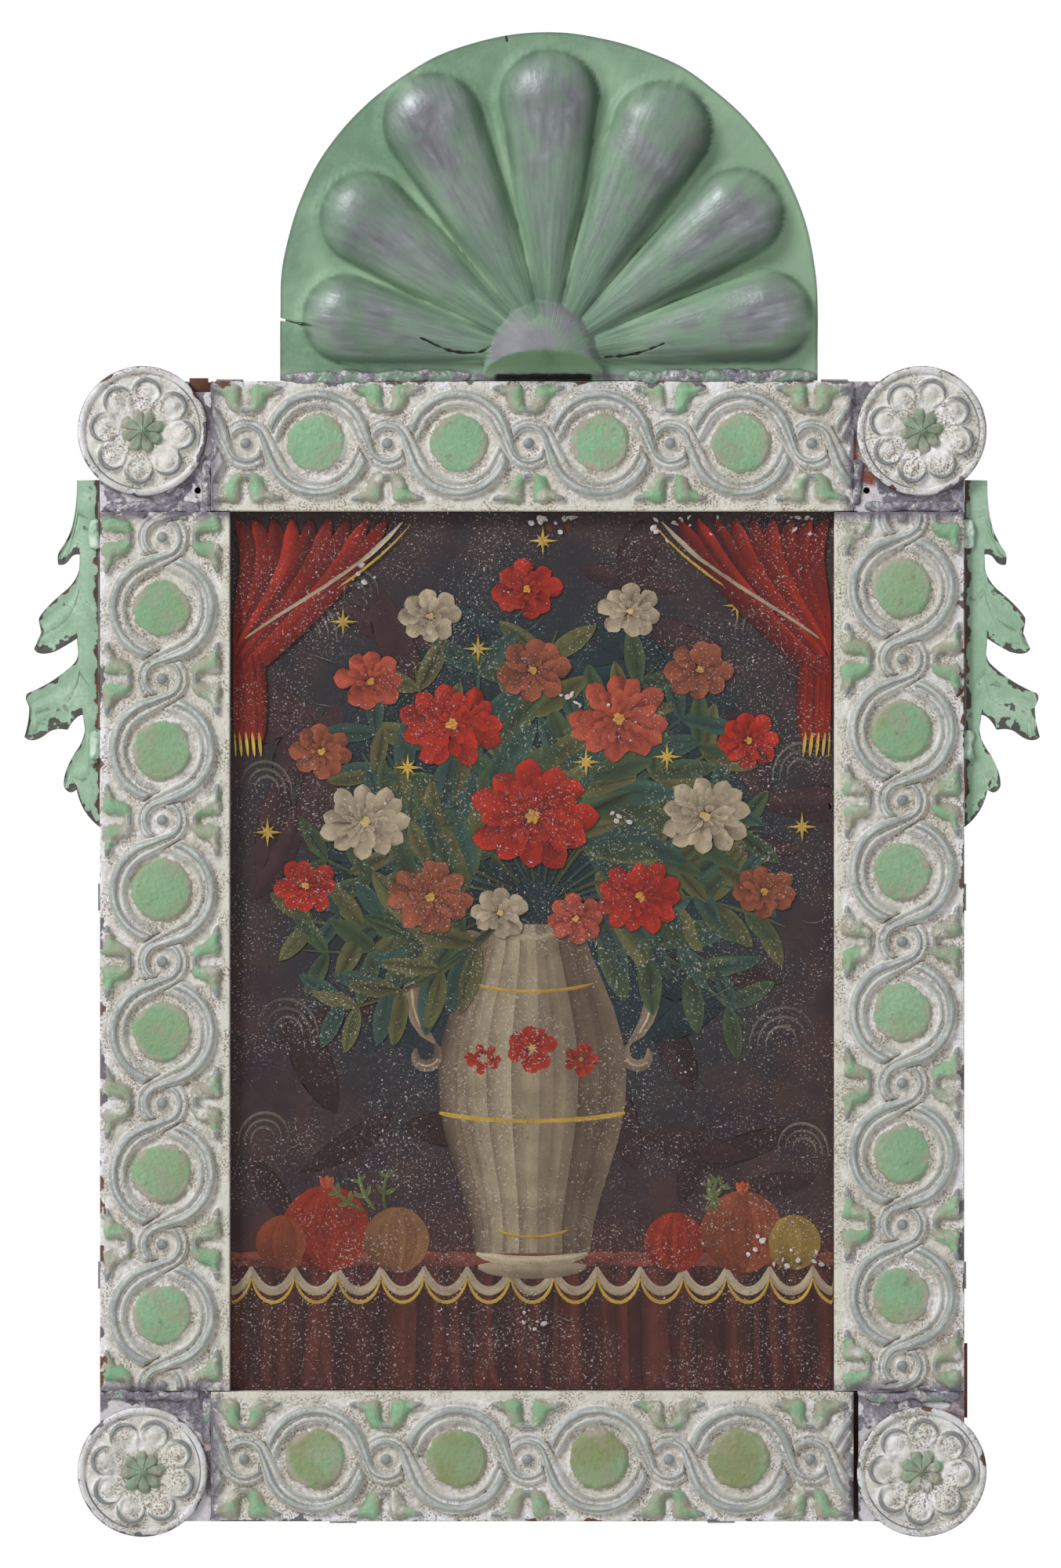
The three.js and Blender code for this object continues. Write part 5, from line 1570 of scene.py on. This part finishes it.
class RETABLO_OT_border(bpy.types.Operator):
    """Press the four strips of the border"""

    bl_idname = "retablo.border"
    bl_label = "Pressed border"

    def execute(self, context):
        sizes = context.scene.retablo_sizes
        tin = whitewashed_tin(context.scene.retablo_colours)
        rail_y, stile_x = SIGHT[1] / 2 + STRIP_AXIS, SIGHT[0] / 2 + STRIP_AXIS
        quarter = np.pi / 2
        strips = (("top", sizes.phase_top, RAIL_LENGTH, (0, rail_y), 0, 0.0),
                  ("bottom", sizes.phase_bottom, RAIL_LENGTH, (0, -rail_y), 2 * quarter, 0.85),
                  ("left", sizes.phase_left, STILE_LENGTH, (-stile_x, 0), quarter, 0.3),
                  ("right", sizes.phase_right, STILE_LENGTH, (stile_x, 0), -quarter, 0.2))
        for seed, (side, phase, length, centre, turn, aged) in enumerate(strips, 1):
            pressed_strip("pressed_border_" + side, phase / MM, length, centre, turn, tin, seed,
                          aged)
        return {"FINISHED"}


class RETABLO_OT_corners(bpy.types.Operator):
    """Stain the corner plates and set a rosette on each"""

    bl_idname = "retablo.corners"
    bl_label = "Corners"

    def execute(self, context):
        tin, stained = bpy.data.materials["whitewashed_pressed_tinplate"], stained_tin()
        turns = {"top_left": 0.1, "top_right": 0.25, "bottom_left": 0.3, "bottom_right": 0.05}
        for seed, (corner, turn) in enumerate(turns.items()):
            sx, sy = (1 if "right" in corner else -1), (1 if "top" in corner else -1)
            centre = (sx * (HALF_W - ROSETTE_IN[0]), sy * (HALF_H - ROSETTE_IN[1]))
            rosette("stamped_rosette_" + corner, "rosette_" + corner, centre, turn, tin, seed)
            show_finish("corner_plate_" + corner, stained)
        return {"FINISHED"}


class RETABLO_OT_crest(bpy.types.Operator):
    """Emboss the shell crest"""

    bl_idname = "retablo.crest"
    bl_label = "Shell crest"

    def execute(self, context):
        crest(crest_paint(context.scene.retablo_colours))
        return {"FINISHED"}


class RETABLO_OT_leaves(bpy.types.Operator):
    """Cut the two leaves"""

    bl_idname = "retablo.leaves"
    bl_label = "Cut leaves"

    def execute(self, context):
        green = leaf_paint(context.scene.retablo_colours)
        cut_leaf("cut_leaf_left", "leaf_left", -1, green, 7)
        cut_leaf("cut_leaf_right", "leaf_right", 1, green, 8)
        return {"FINISHED"}


class RETABLO_OT_solder(bpy.types.Operator):
    """Run solder along the seams; the tacks on the leaves are painted over"""

    bl_idname = "retablo.solder"
    bl_label = "Solder"

    def execute(self, context):
        colours = context.scene.retablo_colours
        finishes = {"leaf": bpy.data.materials["chipped_green_oil_paint"],
                    "crest": lead_solder(colours, "painted_tin_lead_solder", 0.44),
                    "stile": lead_solder(colours, "dull_tin_lead_solder", 0.6)}
        finishes["rail"] = finishes["stile"]
        spread = context.scene.retablo_sizes.solder_spread / MM
        for seed, node in enumerate(sorted(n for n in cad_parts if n.startswith("solder_"))):
            kind = node.split("_")[1]
            solder_run(node, spread, finishes[kind], seed + 20, painted=kind == "leaf")
        return {"FINISHED"}


class RETABLO_OT_back(bpy.types.Operator):
    """Finish the back: plate, clips, braces, strap and hanging ring"""

    bl_idname = "retablo.back"
    bl_label = "Back and hanging ring"

    def execute(self, context):
        show_finish("back_plate", rusted_tin(context.scene.retablo_colours))
        tin = bare_tin()
        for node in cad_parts:
            if node.startswith(("clip_", "crest_brace_", "hanger_strap")):
                show_finish(node, tin)
        wire_ring(iron_wire())
        return {"FINISHED"}


class RETABLO_OT_stage(bpy.types.Operator):
    """Set the floor, the soft light and the camera, square to the picture"""

    bl_idname = "retablo.stage"
    bl_label = "Stage"

    def execute(self, context):
        scene = context.scene
        stage = scene.retablo_stage
        corners = np.array([[-1, -1], [1, -1], [1, 1], [-1, 1]]) * FLOOR_HALF
        floor = bpy.data.meshes.new("studio_floor")
        level = np.full(4, FLOOR_LEVEL)
        floor.from_pydata(np.column_stack([corners, level]).tolist(), [], [[0, 1, 2, 3]])
        floor.materials.append(pale_ground())
        floor_object = bpy.data.objects.new("studio_floor", floor)
        scene.collection.objects.link(floor_object)
        # For each lamp: where it is, its size and its power as a share of the key light's.
        lamps = {"key_light": ((-2.4, -2.4, 2.4), 1.35, 1.0),
                 "fill_light": ((2.9, -3.4, 0.4), 3.0, stage.fill_share),
                 "back_light": ((0.6, 2.2, 1.2), 1.6, 0.23)}
        for name, (spot, size, share) in lamps.items():
            data = bpy.data.lights.new(name, "AREA")
            data.energy, data.size = stage.lamp_power * share, size
            lamp = bpy.data.objects.new(name, data)
            lamp.location = spot
            lamp.rotation_euler = look_along(np.array([0.0, 0.0, LAMP_AIM]) - np.array(spot))
            scene.collection.objects.link(lamp)
        scene.world = studio_white(stage.world_light)
        data = bpy.data.cameras.new("front_camera")
        camera = bpy.data.objects.new("front_camera", data)
        data.lens = data.sensor_width * stage.camera_distance / PHOTO_HEIGHT
        camera.location = (PHOTO_MIDDLE[0], PHOTO_FRONT - stage.camera_distance, PHOTO_MIDDLE[1])
        camera.rotation_euler = look_along(np.array([0.0, 1.0, 0.0]))
        scene.collection.objects.link(camera)
        scene.camera = camera
        scene.view_settings.view_transform = "Standard"
        return {"FINISHED"}


class RETABLO_PT_panel(bpy.types.Panel):
    """The retablo's settings and steps"""

    bl_idname = "RETABLO_PT_panel"
    bl_label = "Retablo"
    bl_space_type = "VIEW_3D"
    bl_region_type = "UI"
    bl_category = "Retablo"

    def draw(self, context):
        scene = context.scene
        for group in (scene.retablo_sizes, scene.retablo_colours, scene.retablo_stage):
            for name in group.__annotations__:
                self.layout.prop(group, name)
        for operator in OPERATORS:
            self.layout.operator(operator.bl_idname)


OPERATORS = (RETABLO_OT_stage, RETABLO_OT_back, RETABLO_OT_picture, RETABLO_OT_border,
             RETABLO_OT_corners, RETABLO_OT_crest, RETABLO_OT_leaves, RETABLO_OT_solder)
CLASSES = (RetabloSizes, RetabloColours, RetabloStage, *OPERATORS, RETABLO_PT_panel)


def register():
    for cls in CLASSES:
        bpy.utils.register_class(cls)
    bpy.types.Scene.retablo_sizes = PointerProperty(type=RetabloSizes)
    bpy.types.Scene.retablo_colours = PointerProperty(type=RetabloColours)
    bpy.types.Scene.retablo_stage = PointerProperty(type=RetabloStage)


def unregister():
    del bpy.types.Scene.retablo_sizes
    del bpy.types.Scene.retablo_colours
    del bpy.types.Scene.retablo_stage
    for cls in reversed(CLASSES):
        bpy.utils.unregister_class(cls)


def main():
    """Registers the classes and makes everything."""
    register()
    for operator in OPERATORS:
        group, name = operator.bl_idname.split(".")
        getattr(getattr(bpy.ops, group), name)()


if __name__ == "__main__":
    main()
